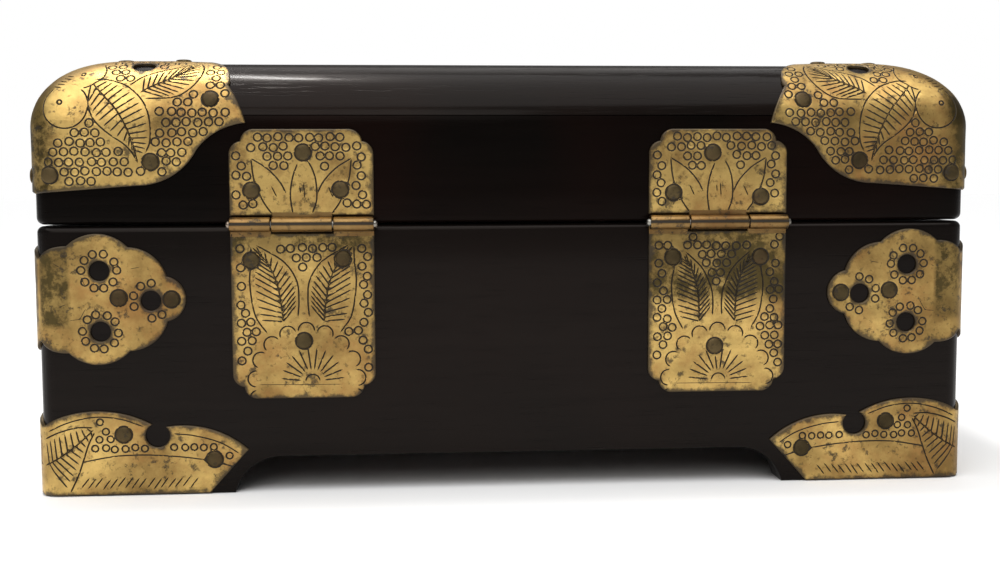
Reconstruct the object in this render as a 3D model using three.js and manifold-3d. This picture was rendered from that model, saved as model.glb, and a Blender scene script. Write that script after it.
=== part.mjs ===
// A hardwood jewellery box with a cushion-topped lid on two brass strap hinges.
// Brass mounts wrap the corners of the lid, the middle of the case and the feet,
// a hanging hasp closes the front, and a divided tray lifts out of the lined case.
// Millimetres. +Z is up, the front is towards -Y, the table is Z = 0.
import * as THREE from "three";
import { mergeVertices } from "three/addons/utils/BufferGeometryUtils.js";
import Module from "manifold-3d";

const wasm = await Module();
wasm.setup();

// ---------------------------------------------------------------- driving sizes

const CASE_WIDTH = 253;
const CASE_DEPTH = 180;
const BODY_TOP = 72.2; // height of the case's rim above the table
const LID_HEIGHT = 43.4; // lid rim to the top of its rounded shoulder
const LID_CROWN = 2; // rise of the lid's top from the shoulder to its middle
const SEAM_GAP = 0.4; // daylight between the case's rim and the lid's rim
const WALL = 10; // thickness of the boards of the case and of the lid's rails
const CORNER_RADIUS = 5; // rounding of the upright corners
const RIM_RADIUS = 1.8; // rounding of the outer edges on both sides of the seam
const SHOULDER_RADIUS = 18; // rounding between the lid's sides and its top
const SHOULDER_SOFTENING = 0.4; // growth of the corner rounding per mm up the shoulder
const TOP_FRAME_THICKNESS = 14.6;
const TOP_FRAME_WIDTH = 34;
const TOP_PANEL_THICKNESS = 8;
const JOINT_GAP = 0.2; // glue line between two wooden pieces
const FIT_GAP = 0.1; // between a piece and what it lies on

const APRON_HEIGHT = 9.7; // table to the lower edge between the feet
const FOOT_LENGTH = 51.3; // corner to the inner end of a foot, at the table
const FOOT_COVE = 12; // run of the curve from the foot up to the apron
const COVE_BULGE = 2.6; // swell of that curve into the apron
const BOTTOM_CLEARANCE = 1.3; // apron's edge to the underside of the bottom board
const BOTTOM_THICKNESS = 5;
const FLOOR_PAD_THICKNESS = 2.5;
const LINING_THICKNESS = 2.5;
const LINING_DROP = 22.2; // case's rim to the tops of the linings, which carry the tray
const LID_PAD_THICKNESS = 3;

const SHEET = 1; // thickness of the corner mounts
const LEAF = 0.9; // thickness of the hinge leaves and of the lock plates
const MOUNT_LIFT = 0.3; // a bent mount stands this far off the wood
const FLOOR_CLEARANCE = 0.3; // the foot mounts end this far above the table

const HINGE_INSET = 51.3; // case's corner to the outer edge of a hinge
const HINGE_WIDTH = 38;
const HINGE_MARGIN = 0.4; // the upper leaf stops this far below the lid's round shoulder
const HINGE_DROP = 46.7; // pin to the bottom of the lower leaf
const KNUCKLE_RADIUS = 2;
const MIDDLE_KNUCKLE = 16; // length of the upper leaf's knuckle
const KNUCKLE_GAP = 0.3;
const PIN_RADIUS = 1;
const PIN_CLEARANCE = 0.08;
const PIN_OVERHANG = 1; // the pin shows this much at each end of the barrel
const NAIL_HOLE_RADIUS = 0.9;

const STRAP_DROP = 19.4; // case's rim to the middle of the corner straps
const STRAP_HOLE_RADIUS = 2.7;

const LOCK_WIDTH = 56;
const LOCK_MARGIN = 1; // the upper lock plate stops this far below the lid's shoulder
const LOCK_DROP = 33; // seam to the bottom of the lower lock plate
const HASP_PIN_DROP = 7; // top of the upper lock plate to the hasp's pin
const HASP_PIN_RADIUS = 0.8;
const HASP_KNUCKLE_RADIUS = 1.5;
const HASP_KNUCKLE_LENGTH = 10;
const HASP_BRACKET_RADIUS = 1.9;
const HASP_BRACKET_LENGTH = 3;
const HASP_THICKNESS = 1.1;
const HASP_NECK_WIDTH = 14;
const HASP_HEAD_WIDTH = 22;
const HASP_DROP = 22; // seam to the tip of the hasp
const EYE_DROP = 12.5; // seam to the middle of the three lock eyes
const EYE_REACH = 5.6; // lock plate to the middle of the eyes
const EYE_OUTER_RADIUS = 4.7;
const EYE_INNER_RADIUS = 3.1;
const EYE_THICKNESS = 2.4;
const EYE_SPACING = 14.5; // middle eye to an outer eye

const TRAY_CLEARANCE = 0.6; // around the tray, inside the case
const TRAY_HEIGHT = 19;
const TRAY_WALL = 4;
const TRAY_BASE = 2;
const DIVIDER_THICKNESS = 3;
const DIVIDER_HEIGHT = 11;
const DIVIDER_OFFSET = 38; // middle of the tray to a long divider
const KNOB_RADIUS = 3.2;
const KNOB_HEIGHT = 6.5;
const TRAY_PAD_THICKNESS = 1.4;
const RING_ROLL_PITCH = 16; // least distance between the rolls of the ring cushion
const RING_ROLL_FLATTENING = 0.7; // a roll is this much lower than a half round
const RING_ROLL_BASE = 3;

// ---------------------------------------------------------------- derived places

const halfWidth = CASE_WIDTH / 2;
const halfDepth = CASE_DEPTH / 2;
const lidRim = BODY_TOP + SEAM_GAP;
const seamHeight = BODY_TOP + SEAM_GAP / 2;
const lidTop = lidRim + LID_HEIGHT;
const shoulderStart = lidTop - SHOULDER_RADIUS;
const topFrameUnder = lidTop - TOP_FRAME_THICKNESS;
const innerHalfWidth = halfWidth - WALL;
const innerHalfDepth = halfDepth - WALL;
const bottomUnder = APRON_HEIGHT + BOTTOM_CLEARANCE;
const bottomTop = bottomUnder + BOTTOM_THICKNESS;
const leafBack = halfDepth + FIT_GAP;
const leafFront = leafBack + LEAF;
const pinY = leafBack + KNUCKLE_RADIUS;
const hingeMiddle = halfWidth - HINGE_INSET - HINGE_WIDTH / 2;
const strapMiddle = BODY_TOP - STRAP_DROP;
const liningTop = BODY_TOP - LINING_DROP;

const X = new THREE.Vector3(1, 0, 0);
const Y = new THREE.Vector3(0, 1, 0);
const Z = new THREE.Vector3(0, 0, 1);
const CORNER_STEPS = 4; // facets round an upright corner
const SHOULDER_STEPS = 7; // facets up the lid's shoulder
const OUTLINE_STEPS = 2; // an outline's arc has twice as many facets

// ---------------------------------------------------------------- solids

// The closed geometry as a solid that can be joined and cut.
function solidOf(geometry) {
  const bare = geometry.clone();
  bare.deleteAttribute("normal");
  bare.deleteAttribute("uv");
  const merged = mergeVertices(bare, 1e-4);
  const vertProperties = new Float32Array(merged.attributes.position.array);
  const triVerts = new Uint32Array(merged.index.array);
  return new wasm.Manifold(new wasm.Mesh({ numProp: 3, vertProperties, triVerts }));
}

// The solid as a geometry again, with one flat normal for each face.
function geometryOf(solid) {
  const { vertProperties, triVerts } = solid.getMesh();
  const geometry = new THREE.BufferGeometry();
  geometry.setAttribute("position", new THREE.BufferAttribute(vertProperties, 3));
  geometry.setIndex(new THREE.BufferAttribute(triVerts, 1));
  const faceted = geometry.toNonIndexed();
  faceted.computeVertexNormals();
  return faceted;
}

// A block between two corners, [x, y, z] each.
function block(low, high) {
  const size = high.map((v, i) => v - low[i]);
  const geometry = new THREE.BoxGeometry(...size);
  geometry.translate(...low.map((v, i) => v + size[i] / 2));
  return solidOf(geometry);
}

// An outline drawn in X and Z, extruded along Y.
function prismAlongY(shape, yLow, yHigh) {
  const settings = { depth: yHigh - yLow, bevelEnabled: false, curveSegments: OUTLINE_STEPS };
  const geometry = new THREE.ExtrudeGeometry(shape, settings);
  geometry.applyMatrix4(new THREE.Matrix4().makeBasis(X, Z, Y.clone().negate()));
  geometry.translate(0, yHigh, 0);
  return solidOf(geometry);
}

// An outline drawn in Y and Z, extruded along X.
function prismAlongX(shape, xLow, xHigh) {
  const settings = { depth: xHigh - xLow, bevelEnabled: false, curveSegments: OUTLINE_STEPS };
  const geometry = new THREE.ExtrudeGeometry(shape, settings);
  geometry.applyMatrix4(new THREE.Matrix4().makeBasis(Y, Z, X));
  geometry.translate(xLow, 0, 0);
  return solidOf(geometry);
}

// An outline drawn in X and Y, extruded upwards.
function prismAlongZ(shape, zLow, zHigh) {
  const settings = { depth: zHigh - zLow, bevelEnabled: false, curveSegments: OUTLINE_STEPS };
  const geometry = new THREE.ExtrudeGeometry(shape, settings);
  geometry.translate(0, 0, zLow);
  return solidOf(geometry);
}

// A round bar along X.
function barAlongX(radius, xLow, xHigh, y, z, sides = 16) {
  const geometry = new THREE.CylinderGeometry(radius, radius, xHigh - xLow, sides);
  geometry.rotateZ(Math.PI / 2);
  geometry.translate((xLow + xHigh) / 2, y, z);
  return solidOf(geometry);
}

// A round bar along Y, used to make holes.
function barAlongY(radius, yLow, yHigh, x, z, sides = 12) {
  const geometry = new THREE.CylinderGeometry(radius, radius, yHigh - yLow, sides);
  geometry.translate(x, (yLow + yHigh) / 2, z);
  return solidOf(geometry);
}

// The points of a rectangle with rounded corners, the same number for every size.
function roundedOutline(halfX, halfY, radius) {
  const points = [];
  const corners = [[1, 1], [-1, 1], [-1, -1], [1, -1]];
  corners.forEach(([sx, sy], quarter) => {
    for (let i = 0; i <= CORNER_STEPS; i++) {
      const angle = (quarter + i / CORNER_STEPS) * (Math.PI / 2);
      points.push(
        new THREE.Vector2(
          sx * (halfX - radius) + radius * Math.cos(angle),
          sy * (halfY - radius) + radius * Math.sin(angle),
        ),
      );
    }
  });
  return points;
}

// A closed solid skinned over horizontal rounded rectangles, from the lowest to the highest.
function loft(sections) {
  const rings = sections.map((s) => roundedOutline(s.halfX, s.halfY, s.radius));
  const count = rings[0].length;
  const positions = rings.flatMap((ring, k) => ring.flatMap((p) => [p.x, p.y, sections[k].z]));
  const low = rings.length * count;
  const high = low + 1;
  positions.push(0, 0, sections[0].z, 0, 0, sections[sections.length - 1].z);
  const triangles = [];
  for (let i = 0; i < count; i++) {
    const next = (i + 1) % count;
    for (let k = 0; k + 1 < rings.length; k++) {
      const [a, b] = [k * count + i, k * count + next];
      triangles.push(a, b, b + count, a, b + count, a + count);
    }
    const top = (rings.length - 1) * count;
    triangles.push(low, next, i, high, top + i, top + next);
  }
  const geometry = new THREE.BufferGeometry();
  geometry.setAttribute("position", new THREE.Float32BufferAttribute(positions, 3));
  geometry.setIndex(triangles);
  return solidOf(geometry);
}

// ---------------------------------------------------------------- outlines

// Adds an arc from the path's last point to (x, y). A positive bulge swells to the left of the way.
function arcTo(path, x, y, bulge) {
  const start = path.currentPoint.clone();
  const end = new THREE.Vector2(x, y);
  const half = start.distanceTo(end) / 2;
  const radius = (bulge * bulge + half * half) / (2 * Math.abs(bulge));
  const left = end.clone().sub(start).rotateAround(new THREE.Vector2(), Math.PI / 2).normalize();
  const middle = start.clone().add(end).multiplyScalar(0.5);
  const centre = middle.addScaledVector(left, bulge - Math.sign(bulge) * radius);
  const angles = [start, end].map((p) => Math.atan2(p.y - centre.y, p.x - centre.x));
  path.absarc(centre.x, centre.y, radius, angles[0], angles[1], bulge > 0);
  path.currentPoint.copy(end);
}

// A round hole for an outline, as two half circles.
function roundHole(x, z, radius) {
  const hole = new THREE.Path();
  hole.moveTo(x + radius, z);
  hole.absarc(x, z, radius, 0, -Math.PI, true);
  hole.absarc(x, z, radius, Math.PI, 0, true);
  return hole;
}

// A strap leaf, drawn from its straight edge to its far edge, with cusped corners there.
// The leaf spans halfSpan on both sides of x = middle and runs from zNear to zFar.
function leafShape(middle, halfSpan, zNear, zFar) {
  const way = Math.sign(zFar - zNear);
  const shape = new THREE.Shape();
  shape.moveTo(middle - halfSpan, zNear);
  shape.lineTo(middle - halfSpan, zFar - way * 6.4);
  arcTo(shape, middle - halfSpan + 3, zFar - way * 3.2, way * 0.8);
  arcTo(shape, middle - halfSpan + 6.2, zFar, way * 0.8);
  shape.lineTo(middle + halfSpan - 6.2, zFar);
  arcTo(shape, middle + halfSpan - 3, zFar - way * 3.2, way * 0.8);
  arcTo(shape, middle + halfSpan, zFar - way * 6.4, way * 0.8);
  shape.lineTo(middle + halfSpan, zNear);
  shape.closePath();
  return shape;
}

// The cloud of a middle strap: c is the way from the corner, z the height over the strap's middle.
// It starts beyond the corner, so that the piece round the corner is covered.
const STRAP_HOLES = [[16.9, 7.6], [30.2, -0.4], [16.9, -8.5]];
function strapShape(place) {
  const shape = new THREE.Shape();
  const at = (c, z) => [place(c), strapMiddle + z];
  const way = Math.sign(place(1) - place(0));
  shape.moveTo(...at(-3, 10.8));
  shape.lineTo(...at(0, 10.8));
  arcTo(shape, ...at(8.5, 14.2), way * 1);
  arcTo(shape, ...at(24.4, 13.8), way * 3.4);
  arcTo(shape, ...at(34.4, 6), way * 2.1);
  arcTo(shape, ...at(34.4, -6), way * 4.9);
  arcTo(shape, ...at(24.4, -13.8), way * 2.1);
  arcTo(shape, ...at(8.5, -14.2), way * 3.4);
  arcTo(shape, ...at(0, -10.8), way * 1);
  shape.lineTo(...at(-3, -10.8));
  shape.closePath();
  for (const [c, z] of STRAP_HOLES) {
    shape.holes.push(roundHole(...at(c, z), STRAP_HOLE_RADIUS));
  }
  return shape;
}

// The fan of a foot mount: two lobes over the foot, with a round bite where they meet.
function footShape(place) {
  const shape = new THREE.Shape();
  const way = Math.sign(place(1) - place(0));
  const bite = { c: 31, z: 16.2, radius: 3.2 };
  const biteAt = (degrees) => {
    const angle = THREE.MathUtils.degToRad(degrees);
    return [place(bite.c + bite.radius * Math.cos(angle)), bite.z + bite.radius * Math.sin(angle)];
  };
  shape.moveTo(place(-3), FLOOR_CLEARANCE);
  shape.lineTo(place(-3), 18.8);
  shape.lineTo(place(0), 18.8);
  arcTo(shape, ...biteAt(115), way * 4);
  arcTo(shape, ...biteAt(270), -way * 2.5);
  arcTo(shape, ...biteAt(45), -way * 2.1);
  arcTo(shape, place(FOOT_LENGTH + 3.7), APRON_HEIGHT + 2.2, way * 2.6);
  shape.lineTo(place(FOOT_LENGTH - 6.7), FLOOR_CLEARANCE);
  shape.closePath();
  return shape;
}

// A lid corner mount as it lies on an upright face: c from the corner, z the height.
function lidMountSideShape(place) {
  const shape = new THREE.Shape();
  const way = Math.sign(place(1) - place(0));
  shape.moveTo(place(-3), lidTop + 6);
  shape.lineTo(place(-3), lidRim + 8.2);
  shape.lineTo(place(0), lidRim + 8.2);
  shape.lineTo(place(27), lidRim + 10.2);
  arcTo(shape, place(42.9), lidTop - 23.8, -way * 2.6);
  arcTo(shape, place(55.8), lidTop - 16.8, way * 1.6);
  arcTo(shape, place(51.1), lidTop - 7, -way * 0.5);
  arcTo(shape, place(51.3), lidTop - 4.8, -way * 0.3);
  shape.lineTo(place(51.3), lidTop + 6);
  shape.closePath();
  return shape;
}

// The same mount as it lies on the top, drawn on the case's plan with its corner at +X, +Y.
function lidMountTopShape() {
  const shape = new THREE.Shape();
  const at = (c, i) => [halfWidth - c, halfDepth - i];
  shape.moveTo(...at(-3, -3));
  shape.lineTo(...at(51.3, -3));
  shape.lineTo(...at(51.3, 6));
  arcTo(shape, ...at(45.6, 13.5), -1.2);
  arcTo(shape, ...at(34.2, 20), 1.6);
  arcTo(shape, ...at(20, 34.2), -4.2);
  arcTo(shape, ...at(13.5, 45.6), 1.6);
  arcTo(shape, ...at(6, 51.3), -1.2);
  shape.lineTo(...at(-3, 51.3));
  shape.closePath();
  return shape;
}

// The apron's opening under a board: flat between two feet, with a cove at each end.
function apronShape(halfLength) {
  const shape = new THREE.Shape();
  const foot = halfLength - FOOT_LENGTH;
  shape.moveTo(-foot, -1);
  shape.lineTo(-foot, 0);
  arcTo(shape, -foot + FOOT_COVE, APRON_HEIGHT, COVE_BULGE);
  shape.lineTo(foot - FOOT_COVE, APRON_HEIGHT);
  arcTo(shape, foot, 0, COVE_BULGE);
  shape.lineTo(foot, -1);
  shape.closePath();
  return shape;
}

// ---------------------------------------------------------------- the wooden blocks

// Sections of an edge rounded by a quarter circle, from the side to the flat.
function roundedEdge(radius, steps, rise, make) {
  return Array.from({ length: steps + 1 }, (_, k) => {
    const angle = (k / steps) * (Math.PI / 2);
    const inset = radius * (1 - Math.cos(angle));
    return make(inset, rise * radius * Math.sin(angle));
  });
}

// One horizontal section, inset from the outside of the case and grown by lift.
function section(z, inset, lift, radius) {
  const out = lift - inset;
  return { z, halfX: halfWidth + out, halfY: halfDepth + out, radius: radius + lift };
}

// The outside of the case below the seam, grown by lift.
function bodyBlock(lift) {
  const top = roundedEdge(RIM_RADIUS, 3, 1, (inset, rise) =>
    section(BODY_TOP - RIM_RADIUS + rise, inset, lift, CORNER_RADIUS),
  );
  return loft([section(-lift, 0, lift, CORNER_RADIUS), ...top]);
}

// The outside of the lid, grown by lift: a rounded rim, upright sides, a round shoulder, a crown.
function lidBlock(lift) {
  const rim = roundedEdge(RIM_RADIUS, 3, -1, (inset, rise) =>
    section(lidRim + RIM_RADIUS + rise, inset, lift, CORNER_RADIUS),
  ).reverse();
  const shoulder = roundedEdge(SHOULDER_RADIUS, SHOULDER_STEPS, 1, (inset, rise) => {
    const radius = CORNER_RADIUS + SHOULDER_SOFTENING * inset;
    const grown = (1 + lift / SHOULDER_RADIUS) * rise;
    const leaning = lift * (1 - inset / SHOULDER_RADIUS);
    return section(shoulderStart + grown, inset, leaning, radius);
  });
  const flat = shoulder[shoulder.length - 1];
  const crown = [0.12, 0.26, 0.42, 0.6, 0.8].map((share) => ({
    z: flat.z + LID_CROWN * Math.sin((share * Math.PI) / 2) ** 2,
    halfX: flat.halfX * (1 - share),
    halfY: flat.halfY * (1 - share),
    radius: flat.radius * (1 - share),
  }));
  return loft([...rim, ...shoulder, ...crown]);
}

// The quarter of the plan that one board takes: a wedge that ends in two mitres.
// side is "back" or "right"; the other two boards are their mirror images.
function mitreWedge(side, zLow, zHigh) {
  const reach = 20; // past the outside of the case
  const gap = JOINT_GAP / 2;
  const outer = side === "back" ? halfDepth + reach : halfWidth + reach;
  const depthAtCorner = side === "back" ? halfWidth - halfDepth : halfDepth - halfWidth;
  const inner = outer - reach - TOP_FRAME_WIDTH - 2;
  const along = (away) => away + depthAtCorner - gap * Math.SQRT2;
  const corners = [
    [-along(outer), outer],
    [-along(inner), inner],
    [along(inner), inner],
    [along(outer), outer],
  ];
  const placed = corners.map(([a, b]) => new THREE.Vector2(...(side === "back" ? [a, b] : [b, a])));
  if (THREE.ShapeUtils.area(placed) < 0) placed.reverse();
  return prismAlongZ(new THREE.Shape(placed), zLow, zHigh);
}

// ---------------------------------------------------------------- materials

const material = (color, roughness, metalness) =>
  new THREE.MeshStandardMaterial({ color, roughness, metalness });
const darkWood = material(0x1d1210, 0.32, 0);
const trayWood = material(0x2a1712, 0.45, 0);
const brass = material(0xb08d48, 0.34, 1);
const steel = material(0x8b8d8c, 0.4, 1);
const brocade = material(0x7a1620, 0.75, 0);
const velvet = material(0x5c0f18, 0.95, 0);

const object = new THREE.Group();

// Adds a solid as a named piece, mirrored in X or Y where the scale says so.
function add(name, solid, finish, mirrorX = 1, mirrorY = 1) {
  const mesh = new THREE.Mesh(geometryOf(solid), finish);
  mesh.name = name;
  mesh.scale.set(mirrorX, mirrorY, 1);
  object.add(mesh);
  return mesh;
}

// ---------------------------------------------------------------- case

function addCase() {
  const inside = block(
    [-innerHalfWidth, -innerHalfDepth, -5],
    [innerHalfWidth, innerHalfDepth, BODY_TOP + 5],
  );
  const walls = bodyBlock(0)
    .subtract(inside)
    .subtract(prismAlongY(apronShape(halfWidth), -halfDepth - 5, halfDepth + 5))
    .subtract(prismAlongX(apronShape(halfDepth), -halfWidth - 5, halfWidth + 5));
  const back = walls.intersect(mitreWedge("back", -5, BODY_TOP + 5));
  const right = walls.intersect(mitreWedge("right", -5, BODY_TOP + 5));
  add("back_board", back, darkWood);
  add("front_board", back, darkWood, 1, -1);
  add("right_board", right, darkWood);
  add("left_board", right, darkWood, -1, 1);

  const x = innerHalfWidth - JOINT_GAP;
  const y = innerHalfDepth - JOINT_GAP;
  add("bottom_board", block([-x, -y, bottomUnder], [x, y, bottomTop]), trayWood);

  const low = bottomTop + FIT_GAP;
  const padTop = low + FLOOR_PAD_THICKNESS;
  const padX = x - LINING_THICKNESS - JOINT_GAP;
  const padY = y - LINING_THICKNESS - JOINT_GAP;
  add("floor_pad", block([-padX, -padY, low], [padX, padY, padTop]), brocade);

  const longLining = block([-x, y - LINING_THICKNESS, low], [x, y, liningTop]);
  add("lining_back", longLining, brocade);
  add("lining_front", longLining, brocade, 1, -1);
  const end = y - LINING_THICKNESS - JOINT_GAP;
  const shortLining = block([x - LINING_THICKNESS, -end, low], [x, end, liningTop]);
  add("lining_right", shortLining, brocade);
  add("lining_left", shortLining, brocade, -1, 1);
}

// ---------------------------------------------------------------- brass mounts of the case

const CORNERS = [
  ["back_right", 1, 1],
  ["back_left", -1, 1],
  ["front_right", 1, -1],
  ["front_left", -1, -1],
];

// Adds one piece at each of the four corners, made once for the back right one.
function addAtCorners(prefix, solid) {
  for (const [corner, mirrorX, mirrorY] of CORNERS) {
    add(`${prefix}_${corner}`, solid, brass, mirrorX, mirrorY);
  }
}

// A sheet bent round the upright corner: the skin between two grown blocks, cut to its outline.
function bentSheet(inner, outer, shape) {
  const bend = CORNER_RADIUS + 1;
  const overBack = prismAlongY(shape((c) => halfWidth - c), halfDepth - bend, halfDepth + 5);
  const overSide = prismAlongX(shape((c) => halfDepth - c), halfWidth - bend, halfWidth + 5);
  return outer.subtract(inner).intersect(overBack.add(overSide));
}

function addCaseMounts() {
  const inner = bodyBlock(MOUNT_LIFT);
  const outer = bodyBlock(MOUNT_LIFT + SHEET);
  addAtCorners("corner_strap", bentSheet(inner, outer, strapShape));
  const footOuter = outer.intersect(
    block([-CASE_WIDTH, -CASE_DEPTH, FLOOR_CLEARANCE], [CASE_WIDTH, CASE_DEPTH, BODY_TOP]),
  );
  const under = block([-CASE_WIDTH, -CASE_DEPTH, -5], [CASE_WIDTH, CASE_DEPTH, FLOOR_CLEARANCE]);
  addAtCorners("foot_mount", bentSheet(inner.add(under), footOuter, footShape));
}

// ---------------------------------------------------------------- lid

function addLid() {
  const whole = lidBlock(0);
  const cavity = block(
    [-innerHalfWidth, -innerHalfDepth, lidRim - 5],
    [innerHalfWidth, innerHalfDepth, lidTop + 5],
  );
  const reach = CASE_WIDTH;
  const belowSeam = block([-reach, -reach, 0], [reach, reach, topFrameUnder - JOINT_GAP]);
  const rails = whole.intersect(belowSeam).subtract(cavity);
  const backRail = rails.intersect(mitreWedge("back", lidRim - 5, lidTop + 5));
  const rightRail = rails.intersect(mitreWedge("right", lidRim - 5, lidTop + 5));
  add("lid_rail_back", backRail, darkWood);
  add("lid_rail_front", backRail, darkWood, 1, -1);
  add("lid_rail_right", rightRail, darkWood);
  add("lid_rail_left", rightRail, darkWood, -1, 1);

  const x = halfWidth - TOP_FRAME_WIDTH;
  const y = halfDepth - TOP_FRAME_WIDTH;
  const high = lidTop + LID_CROWN + 5;
  const top = whole.intersect(block([-reach, -reach, topFrameUnder], [reach, reach, high]));
  const frame = top.subtract(block([-x, -y, topFrameUnder - 5], [x, y, high]));
  const backFrame = frame.intersect(mitreWedge("back", lidRim, high));
  const rightFrame = frame.intersect(mitreWedge("right", lidRim, high));
  add("top_frame_back", backFrame, darkWood);
  add("top_frame_front", backFrame, darkWood, 1, -1);
  add("top_frame_right", rightFrame, darkWood);
  add("top_frame_left", rightFrame, darkWood, -1, 1);
  const panelBox = block(
    [-x + JOINT_GAP, -y + JOINT_GAP, lidTop - TOP_PANEL_THICKNESS],
    [x - JOINT_GAP, y - JOINT_GAP, high],
  );
  add("top_panel", top.intersect(panelBox), darkWood);

  const padTop = topFrameUnder - FIT_GAP;
  const padX = innerHalfWidth - JOINT_GAP;
  const padY = innerHalfDepth - JOINT_GAP;
  add("lid_pad", block([-padX, -padY, padTop - LID_PAD_THICKNESS], [padX, padY, padTop]), brocade);
}

// The lid's corner mounts: one formed sheet over three faces.
const LID_MOUNT_HOLE = { along: 29.2, radius: 3 };
function addLidMounts() {
  const skin = lidBlock(MOUNT_LIFT + SHEET).subtract(lidBlock(MOUNT_LIFT));
  const bend = SHOULDER_RADIUS * 0.45;
  const back = lidMountSideShape((c) => halfWidth - c);
  const side = lidMountSideShape((c) => halfDepth - c);
  const overBack = prismAlongY(back, halfDepth - bend, halfDepth + 5);
  const overSide = prismAlongX(side, halfWidth - bend, halfWidth + 5);
  const overTop = prismAlongZ(lidMountTopShape(), lidRim + 5, lidTop + LID_CROWN + 5);
  const corner = block([20, 20, lidRim], [halfWidth + 5, halfDepth + 5, lidTop + 10]);
  // Upright cutters shape the lower part, the top cutter everything above the shoulder's middle.
  const split = shoulderStart + SHOULDER_RADIUS * Math.SQRT1_2;
  const reach = CASE_WIDTH;
  const lower = block([-reach, -reach, 0], [reach, reach, split]);
  const upper = block([-reach, -reach, split], [reach, reach, lidTop + 20]);
  const sides = overBack.add(overSide).intersect(lower);
  const outline = sides.add(overTop.intersect(upper));
  const holeAngle = THREE.MathUtils.degToRad(62);
  const holeAt = (place) => {
    const bar = new THREE.CylinderGeometry(LID_MOUNT_HOLE.radius, LID_MOUNT_HOLE.radius, 8, 12);
    bar.rotateX(holeAngle);
    bar.translate(
      halfWidth - LID_MOUNT_HOLE.along,
      halfDepth - SHOULDER_RADIUS + SHOULDER_RADIUS * Math.cos(holeAngle),
      shoulderStart + SHOULDER_RADIUS * Math.sin(holeAngle),
    );
    return solidOf(place(bar));
  };
  // The side face's hole is the back face's, swapped across the corner's diagonal.
  const swap = (bar) => {
    bar.rotateZ(-Math.PI / 2);
    bar.scale(1, -1, 1);
    bar.translate(halfWidth - halfDepth, halfDepth - halfWidth, 0);
    const index = bar.index.array;
    for (let i = 0; i < index.length; i += 3) [index[i], index[i + 1]] = [index[i + 1], index[i]];
    return bar;
  };
  const mount = skin
    .intersect(corner)
    .intersect(outline)
    .subtract(holeAt((bar) => bar))
    .subtract(holeAt(swap));
  addAtCorners("lid_mount", mount);
}

// ---------------------------------------------------------------- hinges

// A rolled knuckle with its bore, joined to the leaf by a tongue at the barrel's back.
function knuckle(xLow, xHigh, zTongue) {
  const barrel = barAlongX(KNUCKLE_RADIUS, xLow, xHigh, pinY, seamHeight);
  const zs = [seamHeight, zTongue].sort((a, b) => a - b);
  return barrel.add(block([xLow, leafBack, zs[0]], [xHigh, leafFront, zs[1]]));
}

function nailHoles(middle, places) {
  return places
    .map(([x, z]) => barAlongY(NAIL_HOLE_RADIUS, leafBack - 2, leafFront + 2, middle + x, z, 8))
    .reduce((all, hole) => all.add(hole));
}

function hingeParts() {
  const middle = hingeMiddle;
  const half = HINGE_WIDTH / 2;
  const clear = KNUCKLE_RADIUS + KNUCKLE_GAP;
  const bore = barAlongX(PIN_RADIUS + PIN_CLEARANCE, middle - HINGE_WIDTH, middle + HINGE_WIDTH, pinY, seamHeight);
  const upperTop = shoulderStart - HINGE_MARGIN;
  const lowerEnd = seamHeight - HINGE_DROP;
  const plateUp = leafShape(middle, half, seamHeight + clear, upperTop);
  const plateDown = leafShape(middle, half, seamHeight - clear, lowerEnd);
  const upperNails = [[0, upperTop - 6.8], [-12, seamHeight + 8.4], [12, seamHeight + 8.4]];
  const lowerNails = [[-12.2, seamHeight - 9.5], [12.2, seamHeight - 9.5], [0, lowerEnd + 13.4]];
  const own = MIDDLE_KNUCKLE / 2;
  const upper = prismAlongY(plateUp, leafBack, leafFront)
    .add(knuckle(middle - own, middle + own, seamHeight + clear + 1))
    .subtract(bore)
    .subtract(nailHoles(middle, upperNails));
  const outer = own + KNUCKLE_GAP;
  const lower = prismAlongY(plateDown, leafBack, leafFront)
    .add(knuckle(middle - half, middle - outer, seamHeight - clear - 1))
    .add(knuckle(middle + outer, middle + half, seamHeight - clear - 1))
    .subtract(bore)
    .subtract(nailHoles(middle, lowerNails));
  const end = half + PIN_OVERHANG;
  const pin = barAlongX(PIN_RADIUS, middle - end, middle + end, pinY, seamHeight);
  return { upper, lower, pin };
}

function addHinges() {
  const { upper, lower, pin } = hingeParts();
  for (const [side, mirror] of [["right", 1], ["left", -1]]) {
    add(`hinge_upper_leaf_${side}`, upper, brass, mirror);
    add(`hinge_lower_leaf_${side}`, lower, brass, mirror);
    add(`hinge_pin_${side}`, pin, steel, mirror);
  }
}

// ---------------------------------------------------------------- lock

// Half of the front lock plate: a cloud of lobes on the seam. way is 1 for the lid's half.
function lockShape(zNear, zFar, way) {
  const half = LOCK_WIDTH / 2;
  const shape = new THREE.Shape();
  shape.moveTo(-half + 2, zNear);
  arcTo(shape, -half + 4.5, zNear + (zFar - zNear) * 0.46, way * 2.4);
  arcTo(shape, -half + 14, zNear + (zFar - zNear) * 0.84, way * 2.6);
  arcTo(shape, half - 14, zNear + (zFar - zNear) * 0.84, way * Math.abs(zFar - zNear) * 0.16);
  arcTo(shape, half - 4.5, zNear + (zFar - zNear) * 0.46, way * 2.6);
  arcTo(shape, half - 2, zNear, way * 2.4);
  shape.closePath();
  return shape;
}

// A lock eye: a ring whose hole runs along X, with a stem back to the face it stands on.
function lockEye(middle, faceY, z) {
  const y = -leafFront - EYE_REACH;
  const half = EYE_THICKNESS / 2;
  const ring = barAlongX(EYE_OUTER_RADIUS, middle - half, middle + half, y, z, 20);
  const stem = block([middle - half, y, z - 2.2], [middle + half, faceY, z + 2.2]);
  const hole = barAlongX(EYE_INNER_RADIUS, middle - 10, middle + 10, y, z, 16);
  return ring.add(stem).subtract(hole);
}

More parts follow.
